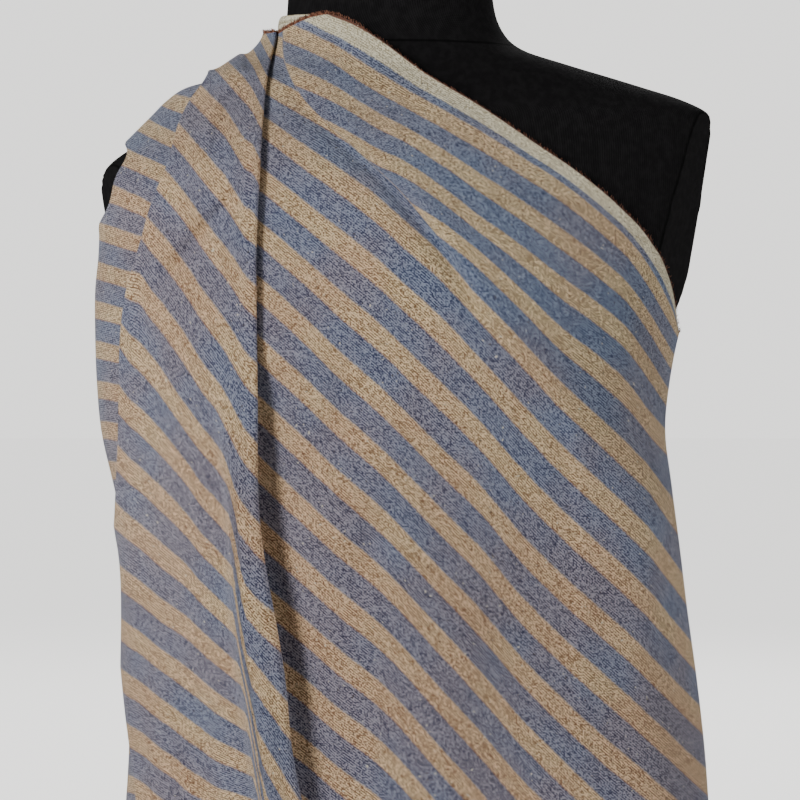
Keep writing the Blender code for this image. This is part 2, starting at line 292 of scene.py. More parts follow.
def ease(part: Array) -> Array:
    """Returns the smooth step 3p^2 - 2p^3 of a share that is first held between 0 and 1."""
    held = np.clip(part, 0.0, 1.0)
    return held * held * (3.0 - 2.0 * held)


def smooth_read(at: Array, places: Array, values: Array) -> Array:
    """Reads values over rising places with a cubic curve through every row, level past both ends.

    Args:
        at: Places to read at.
        places: Rising places of the rows.
        values: Value of each row.

    Returns:
        The values at those places, in the shape of at.
    """
    slopes = np.gradient(values, places)
    row = np.clip(np.searchsorted(places, at) - 1, 0, len(places) - 2)
    span = places[row + 1] - places[row]
    part = np.clip((at - places[row]) / span, 0.0, 1.0)
    rise = part * part * (3.0 - 2.0 * part)
    leaving = part * (1.0 - part) ** 2 * span * slopes[row]
    arriving = part * part * (part - 1.0) * span * slopes[row + 1]
    return values[row] * (1.0 - rise) + values[row + 1] * rise + leaving + arriving


def open_read(at: Array, places: Array, values: Array) -> Array:
    """Reads a table as smooth_read does, and goes on at the end slopes past both ends.

    Args:
        at: Places to read at.
        places: Rising places of the rows.
        values: Value of each row.

    Returns:
        The values at those places.
    """
    slopes = np.gradient(values, places)
    before = np.minimum(at - places[0], 0.0) * slopes[0]
    after = np.maximum(at - places[-1], 0.0) * slopes[-1]
    return smooth_read(at, places, values) + before + after


def read_table(table: Line, at: Array, column: int = 1) -> Array:
    """Reads one column of a table over its first one, as smooth_read does.

    Args:
        table: The table, with its rows rising in the first column.
        at: Places to read at.
        column: The column that is read.

    Returns:
        The values at those places.
    """
    return smooth_read(at, read_column(table, 0), read_column(table, column))


def section_point(rings: Line, ring: Array, angle: Array) -> Array:
    """Returns points on level oval sections: angle 0 is right, a quarter turn is in front.

    A point is (reach across x cosine, -reach along x sine, height), each reach and the height read
    from the table at the ring's place in it.

    Args:
        rings: Table of sections, from the first ring to the last.
        ring: Place in the table, where 0 is its first row.
        angle: Angle round the section in radians.

    Returns:
        Points in millimetres, with x, y and z last.
    """
    places = np.arange(len(rings), dtype=float)
    height, left, right, front, back = (
        smooth_read(ring, places, read_column(rings, column)) for column in range(5)
    )
    across, along = np.cos(angle), np.sin(angle)
    x = across * np.where(across > 0.0, right, left)
    y = -along * np.where(along > 0.0, front, back)
    return np.stack([x, y, height + 0.0 * angle], axis=-1)


def section_normal(rings: Line, ring: Array, angle: Array, downwards: bool) -> Array:
    """Returns outward directions there: small steps round the section crossed with steps along it.

    Args:
        rings: Table of sections.
        ring: Place in the table.
        angle: Angle round the section in radians.
        downwards: Whether the table's rows go down.

    Returns:
        Unit directions, with x, y and z last.
    """
    around = section_point(rings, ring, angle + SLOPE_STEP) - section_point(
        rings, ring, angle - SLOPE_STEP
    )
    along = section_point(rings, ring + SLOPE_STEP, angle) - section_point(
        rings, ring - SLOPE_STEP, angle
    )
    normal = np.cross(around, along) * (1.0 if downwards else -1.0)
    return normal / np.linalg.norm(normal, axis=-1, keepdims=True)


def seen(point: Array) -> tuple[Array, Array]:
    """Returns where a viewer in front sees a point against the plane Y = 0.

    Args:
        point: Points in millimetres, with x, y and z last.

    Returns:
        seen_x and seen_z.
    """
    growth = VIEW_DISTANCE / (VIEW_DISTANCE + point[..., 1])
    return point[..., 0] * growth, VIEW_HEIGHT + (point[..., 2] - VIEW_HEIGHT) * growth


def add_mesh(name: str, points: Array, faces: list[list[int]]) -> bpy.types.Object:
    """Makes a smooth-shaded object from points in table millimetres.

    Args:
        name: The object's name.
        points: Points, with x, y and z last.
        faces: Corner numbers of each face.

    Returns:
        The object, at the origin, unturned and unscaled.
    """
    mesh = bpy.data.meshes.new(name)
    placed = (points.reshape(-1, 3) + np.array([*AXIS_PLACE, 0.0])) * MM
    mesh.from_pydata(placed.tolist(), [], faces)
    mesh.shade_smooth()
    obj = bpy.data.objects.new(name, mesh)
    bpy.context.scene.collection.objects.link(obj)
    return obj


def wall_faces(columns: int, rows: int) -> tuple[Array, Array, Array]:
    """Lists the faces of a wall of columns by rows of points that closes on itself.

    Args:
        columns: How many columns of points go round.
        rows: How many points each column has.

    Returns:
        The column, the row and the four corner numbers of each face.
    """
    column, row = np.meshgrid(np.arange(columns), np.arange(rows - 1), indexing="ij")
    following = (column + 1) % columns
    corners = ((column, row), (column, row + 1), (following, row + 1), (following, row))
    return column, row, np.stack([across * rows + down for across, down in corners], axis=-1)


def thicken(obj: bpy.types.Object, thickness: float) -> None:
    """Gives an open sheet its thickness, half to each side.

    Args:
        obj: The sheet.
        thickness: Thickness in millimetres.
    """
    solid = obj.modifiers.new("Thickness", "SOLIDIFY")
    solid.thickness = thickness * MM
    solid.offset = 0.0


def set_map(obj: bpy.types.Object, name: str, corners: Array) -> None:
    """Gives a mesh a UV map from one pair of values a face corner.

    Args:
        obj: The mesh object.
        name: The map's name.
        corners: Pairs in the order of the mesh's corners.
    """
    layer = obj.data.uv_layers.new(name=name)
    layer.data.foreach_set("uv", corners.astype(np.float32).ravel())


def set_attribute(obj: bpy.types.Object, name: str, values: Array) -> None:
    """Gives a mesh one number a vertex.

    Args:
        obj: The mesh object.
        name: The attribute's name.
        values: One number for each vertex.
    """
    attribute = obj.data.attributes.new(name, "FLOAT", "POINT")
    attribute.data.foreach_set("value", values.astype(np.float32).ravel())


class Graph:
    """A node tree under construction. A value is a number, a tuple or another node's socket."""

    def __init__(self, tree: bpy.types.NodeTree) -> None:
        """Keeps the tree that nodes are added to."""
        self.tree = tree

    def node(
        self, kind: str, inputs: Inputs | None = None, **settings: Any
    ) -> bpy.types.Node:
        """Adds a node.

        Args:
            kind: Blender's name for the node's type.
            inputs: Value of each input, by its name or place.
            **settings: The node's own settings.

        Returns:
            The new node.
        """
        made = self.tree.nodes.new(kind)
        for name, setting in settings.items():
            setattr(made, name, setting)
        for name, value in (inputs or {}).items():
            self.feed(made.inputs[name], value)
        return made

    def feed(self, socket: Socket, value: Value) -> None:
        """Links a socket to another one, or sets its own value.

        Args:
            socket: The socket that takes the value.
            value: The other socket, or the number or tuple.
        """
        if isinstance(value, bpy.types.NodeSocket):
            self.tree.links.new(value, socket)
        else:
            socket.default_value = value

    def math(self, operation: str, *values: Value, clamp: bool = False) -> Socket:
        """Adds a Math node.

        Args:
            operation: Blender's name for the operation.
            *values: The values that it works on.
            clamp: Whether the result is held between 0 and 1.

        Returns:
            The result.
        """
        inputs: Inputs = dict(enumerate(values))
        made = self.node("ShaderNodeMath", inputs, operation=operation, use_clamp=clamp)
        return made.outputs[0]

    def span(self, value: Value, low: float, high: float, smooth: bool = True) -> Socket:
        """Measures how far a value has gone from low to high.

        Args:
            value: The value.
            low: Where the result is 0.
            high: Where the result is 1.
            smooth: Whether it starts and stops gently.

        Returns:
            The share, held between 0 and 1.
        """
        kind = "SMOOTHSTEP" if smooth else "LINEAR"
        inputs: Inputs = {"Value": value, "From Min": low, "From Max": high}
        return self.node("ShaderNodeMapRange", inputs, interpolation_type=kind).outputs[0]

    def spread(self, value: Value, low: float, high: float) -> Socket:
        """Takes a value from 0 to 1 to the range from low to high."""
        inputs: Inputs = {"Value": value, "To Min": low, "To Max": high}
        return self.node("ShaderNodeMapRange", inputs).outputs[0]

    def mix(self, share: Value, first: Value, second: Value) -> Socket:
        """Returns the colour between first and second at that share."""
        inputs: Inputs = {0: share, 6: first, 7: second}
        return self.node("ShaderNodeMix", inputs, data_type="RGBA").outputs[2]

    def noise(
        self, vector: Value, scale: float, detail: float = 2.0, step: Value | None = None
    ) -> Socket:
        """Adds smooth noise.

        Args:
            vector: The place.
            scale: How many bumps lie on one unit of it.
            detail: How many finer layers are added.
            step: The fourth coordinate, if the noise has four.

        Returns:
            A random value round 0.5.
        """
        inputs: Inputs = {"Vector": vector, "Scale": scale, "Detail": detail}
        if step is not None:
            inputs["W"] = step
        kind = "3D" if step is None else "4D"
        return self.node("ShaderNodeTexNoise", inputs, noise_dimensions=kind).outputs[0]

    def scaled(self, vector: Value, factor: Value) -> Socket:
        """Returns a vector times a factor."""
        made = self.node("ShaderNodeVectorMath", {0: vector, 3: factor}, operation="SCALE")
        return made.outputs[0]

    def attribute(self, name: str) -> Socket:
        """Returns the number that the mesh holds under a name."""
        return self.node("ShaderNodeAttribute", attribute_name=name).outputs["Fac"]

    def place(self, group: bpy.types.NodeTree, inputs: Inputs) -> bpy.types.Node:
        """Adds a node group with its input values."""
        return self.node("ShaderNodeGroup", inputs, node_tree=group)

    def bump(self, shader: bpy.types.Node, height: Value, strength: float) -> None:
        """Raises a shader's surface.

        Args:
            shader: The shader.
            height: The height at each place.
            strength: How strongly it shows.
        """
        inputs: Inputs = {"Height": height, "Distance": BUMP_DEPTH, "Strength": strength}
        self.feed(shader.inputs["Normal"], self.node("ShaderNodeBump", inputs).outputs[0])


def new_group(
    name: str, inputs: dict[str, float | str], outputs: dict[str, str]
) -> tuple[Graph, bpy.types.Node, bpy.types.Node]:
    """Starts a shader node group.

    Args:
        name: The group's name.
        inputs: Each input's name, with its first value, or "vector" for a vector.
        outputs: Each output's name and kind, either value or colour.

    Returns:
        The group as a Graph, its input node and its output node.
    """
    tree = bpy.data.node_groups.new(name, "ShaderNodeTree")
    for socket_name, value in inputs.items():
        kind = "NodeSocketVector" if value == "vector" else "NodeSocketFloat"
        socket = tree.interface.new_socket(socket_name, in_out="INPUT", socket_type=kind)
        if kind == "NodeSocketFloat":
            socket.default_value = value
    kinds = {"value": "NodeSocketFloat", "colour": "NodeSocketColor"}
    for socket_name, kind in outputs.items():
        tree.interface.new_socket(socket_name, in_out="OUTPUT", socket_type=kinds[kind])
    graph = Graph(tree)
    return graph, graph.node("NodeGroupInput"), graph.node("NodeGroupOutput")


def streaks_group() -> bpy.types.NodeTree:
    """Builds the group for threads of uneven shade that run one way across a cloth.

    Its Streaks are noise in four dimensions: slow along the surface, and fast in the Across value,
    which is what makes them thin in one direction and long in the other.

    Returns:
        The group, with inputs Vector, Across, Pitch and Length in millimetres.
    """
    graph, given, out = new_group(
        "thread_streaks",
        {"Vector": "vector", "Across": 0.0, "Pitch": 1.0, "Length": 30.0},
        {"Streaks": "value"},
    )
    step = graph.math("DIVIDE", given.outputs["Across"], given.outputs["Pitch"])
    near = graph.math("DIVIDE", 1000.0, given.outputs["Length"])
    place = graph.scaled(given.outputs["Vector"], near)
    graph.feed(out.inputs["Streaks"], graph.noise(place, 1.0, 1.0, step))
    return graph.tree


def weave_group() -> bpy.types.NodeTree:
    """Builds the group for a weave of short floats.

    Rows one Pitch high are dark and pale in turn. Within a row the shade also changes with white
    noise on the number of the small cube, one Length wide, that the place lies in. Height is a
    half sine across each row times one along it.

    Returns:
        The group, with inputs Vector in metres, and Along, Across, Length and Pitch in millimetres.
    """
    graph, given, out = new_group(
        "woven_floats",
        {"Vector": "vector", "Along": 0.0, "Across": 0.0, "Length": 1.0, "Pitch": 0.8},
        {"Shade": "value", "Height": "value"},
    )
    up = graph.math("DIVIDE", given.outputs["Across"], given.outputs["Pitch"])
    row = graph.math("FLOOR", up)
    cubes = graph.math("DIVIDE", 1000.0, given.outputs["Length"])
    place = graph.scaled(given.outputs["Vector"], cubes)
    cell = graph.node("ShaderNodeVectorMath", {0: place}, operation="FLOOR").outputs[0]
    chance = graph.node(
        "ShaderNodeTexWhiteNoise", {"Vector": cell, "W": row}, noise_dimensions="4D"
    ).outputs["Value"]
    turn = graph.math("FLOORED_MODULO", row, 2.0)
    graph.feed(out.inputs["Shade"], graph.mix(0.3, chance, turn))
    waves = []
    for name in ("Along", "Across"):
        part = graph.math("DIVIDE", given.outputs[name], given.outputs["Pitch"])
        waves.append(graph.math("SINE", graph.math("MULTIPLY", part, HALF_TURN)))
    both = graph.math("MULTIPLY", waves[0], waves[1])
    graph.feed(out.inputs["Height"], graph.math("ABSOLUTE", both))
    return graph.tree


def bands_group() -> bpy.types.NodeTree:
    """Builds the group that turns the count of stripes below the edge into masks.

    The brown stripes lie round whole counts. The selvedge lies above the input Selvedge end, with
    no brown in it.

    Returns:
        The group, with the masks Brown, Selvedge, Upper line and Lower line. Its inputs count in
        stripes.
    """
    graph, given, out = new_group(
        "stripe_bands",
        {"Count": 0.0, "Half width": 0.22, "Selvedge end": 0.587, "Softness": 0.02},
        {"Brown": "value", "Selvedge": "value", "Upper line": "value", "Lower line": "value"},
    )
    count, half = given.outputs["Count"], given.outputs["Half width"]
    soft = given.outputs["Softness"]
    nearest = graph.math("ROUND", count)
    off = graph.math("SUBTRACT", count, nearest)
    inside = graph.math("SUBTRACT", half, graph.math("ABSOLUTE", off))
    edge = graph.math("ADD", graph.math("DIVIDE", inside, soft), 0.5, clamp=True)
    past = graph.math("SUBTRACT", count, given.outputs["Selvedge end"])
    below = graph.math("ADD", graph.math("DIVIDE", past, soft), 0.5, clamp=True)
    brown = graph.math("MULTIPLY", edge, below)
    graph.feed(out.inputs["Brown"], brown)
    graph.feed(out.inputs["Selvedge"], graph.math("SUBTRACT", 1.0, below))
    for name, way in (("Upper line", -1.0), ("Lower line", 1.0)):
        line = graph.math("MULTIPLY", half, way)
        away = graph.math("ABSOLUTE", graph.math("SUBTRACT", off, line))
        mask = graph.math("SUBTRACT", 1.0, graph.math("DIVIDE", away, 0.03), clamp=True)
        graph.feed(out.inputs[name], graph.math("MULTIPLY", mask, below))
    return graph.tree


@dataclass(frozen=True)
class Groups:
    """The shared shader groups."""

    streaks: bpy.types.NodeTree
    weave: bpy.types.NodeTree
    bands: bpy.types.NodeTree

    @classmethod
    def build(cls) -> "Groups":
        """Builds each group once."""
        return cls(streaks_group(), weave_group(), bands_group())


def new_material(name: str, roughness: float) -> tuple[bpy.types.Material, Graph, bpy.types.Node]:
    """Starts a material on a Principled BSDF.

    Args:
        name: The material's name.
        roughness: Its roughness.

    Returns:
        The material, its tree as a Graph and its shader node.
    """
    material = bpy.data.materials.new(name)
    material.use_nodes = True
    shader = material.node_tree.nodes["Principled BSDF"]
    shader.inputs["Roughness"].default_value = roughness
    shader.inputs["Specular IOR Level"].default_value = 0.25
    return material, Graph(material.node_tree), shader


@dataclass(frozen=True)
class LinenFinish:
    """The striped linen: its dark and pale threads as screen values, and their sizes."""

    blue_dark: Colour = (52, 48, 74)
    blue_pale: Colour = (170, 164, 176)
    sky_dark: Colour = (40, 56, 96)
    sky_pale: Colour = (148, 164, 190)
    brown_dark: Colour = (126, 86, 58)
    brown_pale: Colour = (244, 210, 170)
    tan_dark: Colour = (130, 98, 60)
    tan_pale: Colour = (252, 230, 184)
    cream_dark: Colour = (176, 162, 128)
    cream_pale: Colour = (250, 242, 214)
    upper_line: Colour = (200, 178, 156)
    lower_line: Colour = (160, 112, 96)
    rust: Colour = (116, 70, 52)
    fleck: Colour = (236, 228, 206)
    speck: Colour = (58, 44, 36)
    rust_counts: float = 0.045
    roughness: float = 0.88
    sheen: float = 0.2
    float_length: float = 0.9
    float_pitch: float = 0.6
    slub_pitch: float = 1.1
    slub_length: float = 12.0
    slub_share: float = 0.2
    contrast: tuple[float, float] = (0.42, 0.76)
    ragged: tuple[float, float] = (0.02, 0.03)
    patch_scale: float = 16.0
    patch_share: float = 0.6
    near_edge: tuple[float, float] = (8.0, 3.0)
    near_edge_share: float = 0.4
    line_share: float = 0.5
    fleck_scale: float = 520.0
    speck_scale: float = 640.0
    fleck_share: float = 0.8
    bump: float = 0.8

    @staticmethod
    def threads(graph: Graph, share: Socket, dark: Colour, pale: Colour) -> Socket:
        """Returns the colour between a dark and a pale thread at that share."""
        return graph.mix(share, linear(*dark), linear(*pale))

    def material(self, groups: Groups) -> bpy.types.Material:
        """Builds the material.

        Right of and above the tuck the stripes follow the map's own count and the attribute
        above_tuck, elsewhere the map's count alone. The change is sharp, along past_tuck at 0.

        Args:
            groups: The shared shader groups.

        Returns:
            The material, which reads the map weave and the attributes above_tuck and past_tuck.
        """
        material, graph, shader = new_material("striped_linen", self.roughness)
        shader.inputs["Sheen Weight"].default_value = self.sheen
        shader.inputs["Sheen Roughness"].default_value = 0.5
        place = graph.node("ShaderNodeTexCoord").outputs["Object"]
        chart = graph.node("ShaderNodeUVMap", uv_map="weave").outputs[0]
        parts = graph.node("ShaderNodeSeparateXYZ", {0: chart}).outputs
        along = graph.math("MULTIPLY", parts[0], REPEAT)
        extra, off = graph.attribute("above_tuck"), graph.attribute("past_tuck")
        past = graph.span(off, -0.3, 0.3, smooth=False)
        count = graph.math("ADD", parts[1], graph.math("MULTIPLY", extra, past))
        across = graph.math("MULTIPLY", count, REPEAT)

        slow = graph.noise(place, 60.0, 2.0)
        fine = graph.noise(place, 1500.0, 0.0)
        wide, narrow = self.ragged
        ragged = graph.math(
            "ADD", graph.spread(slow, -wide, wide), graph.spread(fine, -narrow, narrow)
        )
        bands = graph.place(groups.bands, {"Count": graph.math("ADD", count, ragged)}).outputs

        slub = graph.place(
            groups.streaks,
            {
                "Vector": place,
                "Across": across,
                "Pitch": self.slub_pitch,
                "Length": self.slub_length,
            },
        ).outputs[0]
        weave = graph.place(
            groups.weave,
            {
                "Vector": place,
                "Along": along,
                "Across": across,
                "Length": self.float_length,
                "Pitch": self.float_pitch,
            },
        ).outputs
        grain = graph.math("ADD", weave["Shade"], graph.math("MULTIPLY", slub, self.slub_share))
        share = graph.span(grain, *self.contrast, smooth=False)

        patch = graph.span(graph.noise(place, self.patch_scale, 3.0), 0.36, 0.68)
        patch = graph.math("MULTIPLY", patch, self.patch_share)
        near_edge = graph.math(
            "MULTIPLY", graph.span(count, *self.near_edge), self.near_edge_share
        )
        patch = graph.math("ADD", patch, near_edge, clamp=True)
        blue = graph.mix(
            patch,
            self.threads(graph, share, self.blue_dark, self.blue_pale),
            self.threads(graph, share, self.sky_dark, self.sky_pale),
        )
        brown = graph.mix(
            patch,
            self.threads(graph, share, self.brown_dark, self.brown_pale),
            self.threads(graph, share, self.tan_dark, self.tan_pale),
        )
        colour = graph.mix(bands["Brown"], blue, brown)
        for line, thread in (("Upper line", self.upper_line), ("Lower line", self.lower_line)):
            mask = graph.math("MULTIPLY", bands[line], self.line_share)
            colour = graph.mix(mask, colour, linear(*thread))
        cream = self.threads(graph, share, self.cream_dark, self.cream_pale)
        colour = graph.mix(bands["Selvedge"], colour, cream)
        rim = graph.span(count, EDGE_COUNT + self.rust_counts, EDGE_COUNT)
        colour = graph.mix(rim, colour, linear(*self.rust))

        fleck = graph.span(graph.noise(place, self.fleck_scale, 0.0, 3.0), 0.79, 0.82)
        speck = graph.span(graph.noise(place, self.speck_scale, 0.0), 0.8, 0.83)
        for dots, thread in ((fleck, self.fleck), (speck, self.speck)):
            mask = graph.math("MULTIPLY", dots, self.fleck_share)
            colour = graph.mix(mask, colour, linear(*thread))
        graph.feed(shader.inputs["Base Color"], colour)

        graph.bump(shader, graph.math("ADD", weave["Height"], slub), self.bump)
        return material


@dataclass(frozen=True)
class ThreadFinish:
    """Loose threads: two screen colours that they vary between."""

    name: str = "fringe_threads"
    dark: Colour = (96, 54, 38)
    light: Colour = (170, 118, 94)
    roughness: float = 0.9

    def material(self) -> bpy.types.Material:
        """Builds the material.

        Returns:
            The material, with a shade that varies from thread to thread.
        """
        material, graph, shader = new_material(self.name, self.roughness)
        place = graph.node("ShaderNodeTexCoord").outputs["Object"]
        vary = graph.span(graph.noise(place, 500.0, 1.0), 0.35, 0.65)
        graph.feed(
            shader.inputs["Base Color"], graph.mix(vary, linear(*self.dark), linear(*self.light))
        )
        return material


@dataclass(frozen=True)
class JerseyFinish:
    """The black knitted cover of the form, with its seams."""

    base: Colour = (20, 19, 20)
    # The lighter colour, reached through the random fuzz and through the painted light on the
    # raised ribs.
    worn_and_rib_light: Colour = (32, 31, 32)
    seam: Colour = (6, 6, 6)
    neck_seam: float = 0.569
    seam_width: float = 1.1
    wale: float = 1.5
    roughness: float = 0.95
    fuzz_share: float = 0.7
    bump: float = 0.7

    def material(self, groups: Groups) -> bpy.types.Material:
        """Builds the material.

        Args:
            groups: The shared shader groups; not used.

        Returns:
            The material, which reads the map named knit and the attribute plate_edge.
        """
        material, graph, shader = new_material("black_jersey", self.roughness)
        shader.inputs["Specular IOR Level"].default_value = 0.08
        place = graph.node("ShaderNodeTexCoord").outputs["Object"]
        height = graph.node("ShaderNodeSeparateXYZ", {0: place}).outputs[2]
        chart = graph.node("ShaderNodeUVMap", uv_map="knit").outputs[0]
        around = graph.node("ShaderNodeSeparateXYZ", {0: chart}).outputs
        wale = graph.math("MULTIPLY", around[0], FULL_TURN / self.wale)
        rib = graph.math("SINE", wale)
        neck = graph.math("MULTIPLY", graph.math("SUBTRACT", height, self.neck_seam), 1000.0)
        seams = []
        for off in (graph.attribute("plate_edge"), neck):
            away = graph.math("DIVIDE", graph.math("ABSOLUTE", off), self.seam_width)
            seams.append(graph.math("SUBTRACT", 1.0, away, clamp=True))
        seam = graph.math("MAXIMUM", seams[0], seams[1])
        fuzz = graph.span(graph.noise(place, 220.0, 3.0), 0.3, 0.7)
        fuzz = graph.math("MULTIPLY", fuzz, self.fuzz_share)
        # The ribs lighten the colour on their raised middles and darken it in their grooves. This
        # is painted shade that follows the rib relief. The fuzz changes the tone at random.
        painted_rib_shade = graph.math("MULTIPLY", rib, 1.0 - self.fuzz_share)
        share = graph.math("ADD", fuzz, painted_rib_shade, clamp=True)
        colour = graph.mix(share, linear(*self.base), linear(*self.worn_and_rib_light))
        graph.feed(shader.inputs["Base Color"], graph.mix(seam, colour, linear(*self.seam)))
        raised = graph.math("MULTIPLY", rib, 0.5)
        relief = graph.math("SUBTRACT", raised, graph.math("MULTIPLY", seam, 3.0))
        graph.bump(shader, relief, self.bump)
        return material


class Turn(Enum):
    """Which end of a pleat its lower layer comes in from."""

    LOWER_LEFT = -1.0
    LOWER_RIGHT = 1.0


@dataclass(frozen=True)
class StripeLines:
    """Brown stripes over one layer: the stripe's number, then seen_x and seen_z along it.

    The points are middles of brown stripes, measured on the photo down set columns. The stripes
    between two given lines are evenly shared out, and so are those past the outer ones.
    """

    lines: tuple[tuple[float, Line], ...]

    def count(self, seen_x: Array, seen_z: Array) -> Array:
        """Returns how many stripes a place lies below the edge.

        Each line gives a height at seen_x, and the count runs evenly between those heights.

        Args:
            seen_x: Place across.
            seen_z: Place up.

        Returns:
            The count, whole in the middle of each brown stripe.
        """
        numbers = [number for number, _ in self.lines]
        heights = [
            open_read(seen_x, read_column(line, 0), read_column(line, 1)) for _, line in self.lines
        ]
        result = np.zeros_like(seen_x)
        for step in range(len(numbers) - 1):
            gap = np.minimum(heights[step] - heights[step + 1], 400.0)
            gap = np.maximum(gap, 6.0)
            part = (heights[step] - seen_z) / gap
            value = numbers[step] + part * (numbers[step + 1] - numbers[step])
            result = value if step == 0 else np.where(part > 0.0, value, result)
        return result


# The front, right of and above the tuck. The first line is the outer edge of the selvedge.
FRONT_ABOVE = StripeLines(
    (
        (EDGE_COUNT, ((-76, 606), (-56, 597), (-44, 591), (-31, 586), *UPPER_EDGE[5:])),
        (1, ((-72, 580), (-52, 571), (-41, 565), (-25, 554), (0, 539), (25, 526), (50, 512),
             (75, 497), (100, 481), (125, 461), (144, 443), (156, 426), (169, 403))),
        (3, ((-62, 526), (-38, 516), (-12, 501), (0, 496), (25, 479), (50, 459), (75, 441),
             (100, 421), (125, 403), (144, 386), (156, 369), (166, 353))),
        (4, ((-62, 505), (-38, 494), (-12, 478), (25, 457), (50, 438), (75, 414), (100, 389),
             (125, 369), (144, 351), (156, 335), (166, 325))),
        (5, ((-82, 519), (-62, 504), (-38, 487), (-12, 467), (0, 456), (25, 434), (50, 407),
             (75, 381), (100, 354), (125, 330), (144, 312), (156, 300), (162, 291))),
        (8, ((-82, 414), (-62, 396), (-38, 372), (-12, 349), (25, 312), (50, 288), (75, 258),
             (100, 233), (125, 211), (144, 194), (156, 182))),
        (11, ((-82, 301), (-62, 282), (-38, 260), (-12, 238), (25, 199), (50, 172), (75, 143),
              (100, 118), (125, 94), (156, 69))),
        (14, ((-82, 185), (-62, 170), (-38, 149), (-12, 129), (0, 117), (25, 88), (50, 60),
              (75, 31), (125, -10))),
    )
)

# The front, left of and below the tuck. It is the same from the fifth line on.
FRONT_BELOW = StripeLines(
    (
        (4, ((-82, 546), (-62, 535), (-38, 522), (-12, 504), (25, 470), (50, 439), (75, 414),
             (100, 389), (125, 369), (144, 351), (156, 335), (166, 325))),
        *FRONT_ABOVE.lines[4:],
    )
)

# The flap, right of the pipe fold's steep side.
FLAP_RIGHT = StripeLines(
    (
        (0, ((-103, 577), (-97, 571), (-92, 564), (-86, 552))),
        (1, ((-103, 551), (-97, 545), (-92, 538), (-86, 526))),
        (2, ((-125, 540), (-116, 531), (-109, 524), (-103, 514), (-97, 504), (-92, 501),
             (-86, 488))),
        (4, ((-150, 489), (-141, 479), (-131, 466), (-125, 457), (-116, 445), (-109, 436),
             (-103, 428), (-97, 419), (-92, 414))),
        (6, ((-169, 421), (-162, 419), (-156, 410), (-150, 403), (-141, 391), (-131, 376),
             (-125, 366), (-116, 354), (-109, 344), (-103, 332), (-97, 321), (-92, 315))),
        (8, ((-103, 231), (-97, 224), (-92, 218), (-86, 212), (-82, 209))),
        (10, ((-103, 149), (-97, 144), (-92, 140), (-86, 128), (-82, 121))),
        (11, ((-103, 124), (-97, 118), (-92, 113), (-86, 102))),
    )
)

# The flap, left of the pipe fold's steep side.
FLAP_LEFT = StripeLines(
    (
        *FLAP_RIGHT.lines[:5],
        (7, ((-174, 391), (-169, 383), (-162, 376), (-150, 362), (-141, 348), (-131, 334),
             (-125, 326), (-116, 316), (-109, 306))),
        (8, ((-174, 348), (-169, 342), (-162, 336), (-150, 324), (-141, 314), (-131, 301),
             (-125, 292), (-116, 282), (-109, 274))),
        (11, ((-174, 238), (-169, 234), (-162, 229), (-150, 219), (-141, 213), (-131, 206),
              (-125, 200), (-116, 192), (-109, 186), (-103, 181))),
        (14, ((-174, 144), (-169, 140), (-162, 136), (-150, 126), (-141, 120), (-131, 111),
              (-125, 108), (-116, 102), (-103, 98))),
    )
)

# The side, under the flap.
SIDE_LINES = StripeLines(
    (
        (2, ((-171, 556), (-159, 546), (-147, 538), (-131, 533), (-120, 530))),
        (3, ((-181, 536), (-171, 528), (-159, 521), (-141, 512), (-130, 507))),
        (4, ((-187, 507), (-171, 501), (-159, 496), (-147, 491), (-141, 488))),
        (5, ((-189, 481), (-178, 478), (-169, 474), (-162, 471), (-156, 467), (-141, 460))),
        (6, ((-189, 456), (-178, 452), (-159, 446), (-147, 442))),
        (12, ((-189, 307), (-178, 306), (-156, 300), (-141, 297))),
    )
)


@dataclass(frozen=True)
class Crease:
    """A small crease: its line of seen_x and seen_z, its width to each side and its height."""

    line: Line
    left_width: float
    right_width: float
    height: float

    def lift(self, seen_x: Array, seen_z: Array) -> Array:
        """Returns the height that the crease adds.

        It is the height times a bell across the line, narrower on one side than on the other, and
        it dies out towards both ends of the line.

        Args:
            seen_x: Place across.
            seen_z: Place up.

        Returns:
            Height in millimetres.
        """
        best = np.full(seen_x.shape, np.inf)
        side = np.zeros_like(seen_x)
        run = np.zeros_like(seen_x)
        done = 0.0
        for (x0, z0), (x1, z1) in zip(self.line, self.line[1:]):
            length = math.hypot(x1 - x0, z1 - z0)
            along_x, along_z = (x1 - x0) / length, (z1 - z0) / length
            place = (seen_x - x0) * along_x + (seen_z - z0) * along_z
            held = np.clip(place, 0.0, length)
            away = np.hypot(seen_x - x0 - held * along_x, seen_z - z0 - held * along_z)
            turned = (seen_x - x0) * along_z - (seen_z - z0) * along_x
            nearer = away < best
            best = np.where(nearer, away, best)
            side = np.where(nearer, turned, side)
            run = np.where(nearer, done + held, run)
            done += length
        width = np.where(side > 0.0, self.left_width, self.right_width)
        fade = np.sqrt(np.clip(4.0 * (run / done) * (1.0 - run / done), 0.0, 1.0))
        return self.height * fade * np.exp(-((best / width) ** 2))


FLAP_CREASES = (
    Crease(((-91, 572), (-97, 553), (-106, 539), (-114, 519), (-119, 500), (-122, 485)),
           8, 2.5, 3.5),
    Crease(((-158, 421), (-147, 426), (-141, 431), (-136, 439), (-131, 445), (-122, 456),
            (-109, 470), (-103, 477)), 7, 3, -6.5),
)

FRONT_CREASES = (
    Crease(((-69, 549), (-56, 538), (-41, 522), (-28, 510), (-18, 500), (0, 483), (12, 466),
            (25, 449), (36, 433), (48, 414), (56, 399)), 12, 3, -5),
    Crease(((-87, 375), (-86, 320), (-82, 272), (-75, 222), (-68, 170), (-61, 120), (-56, 80)),
           12, 26, -10),
    Crease(((-22, 392), (-32, 374), (-38, 352), (-52, 330), (-66, 306)), 6, 8, -3),
    Crease(((-14, 275), (-29, 239)), 7, 7, -2.5),
)


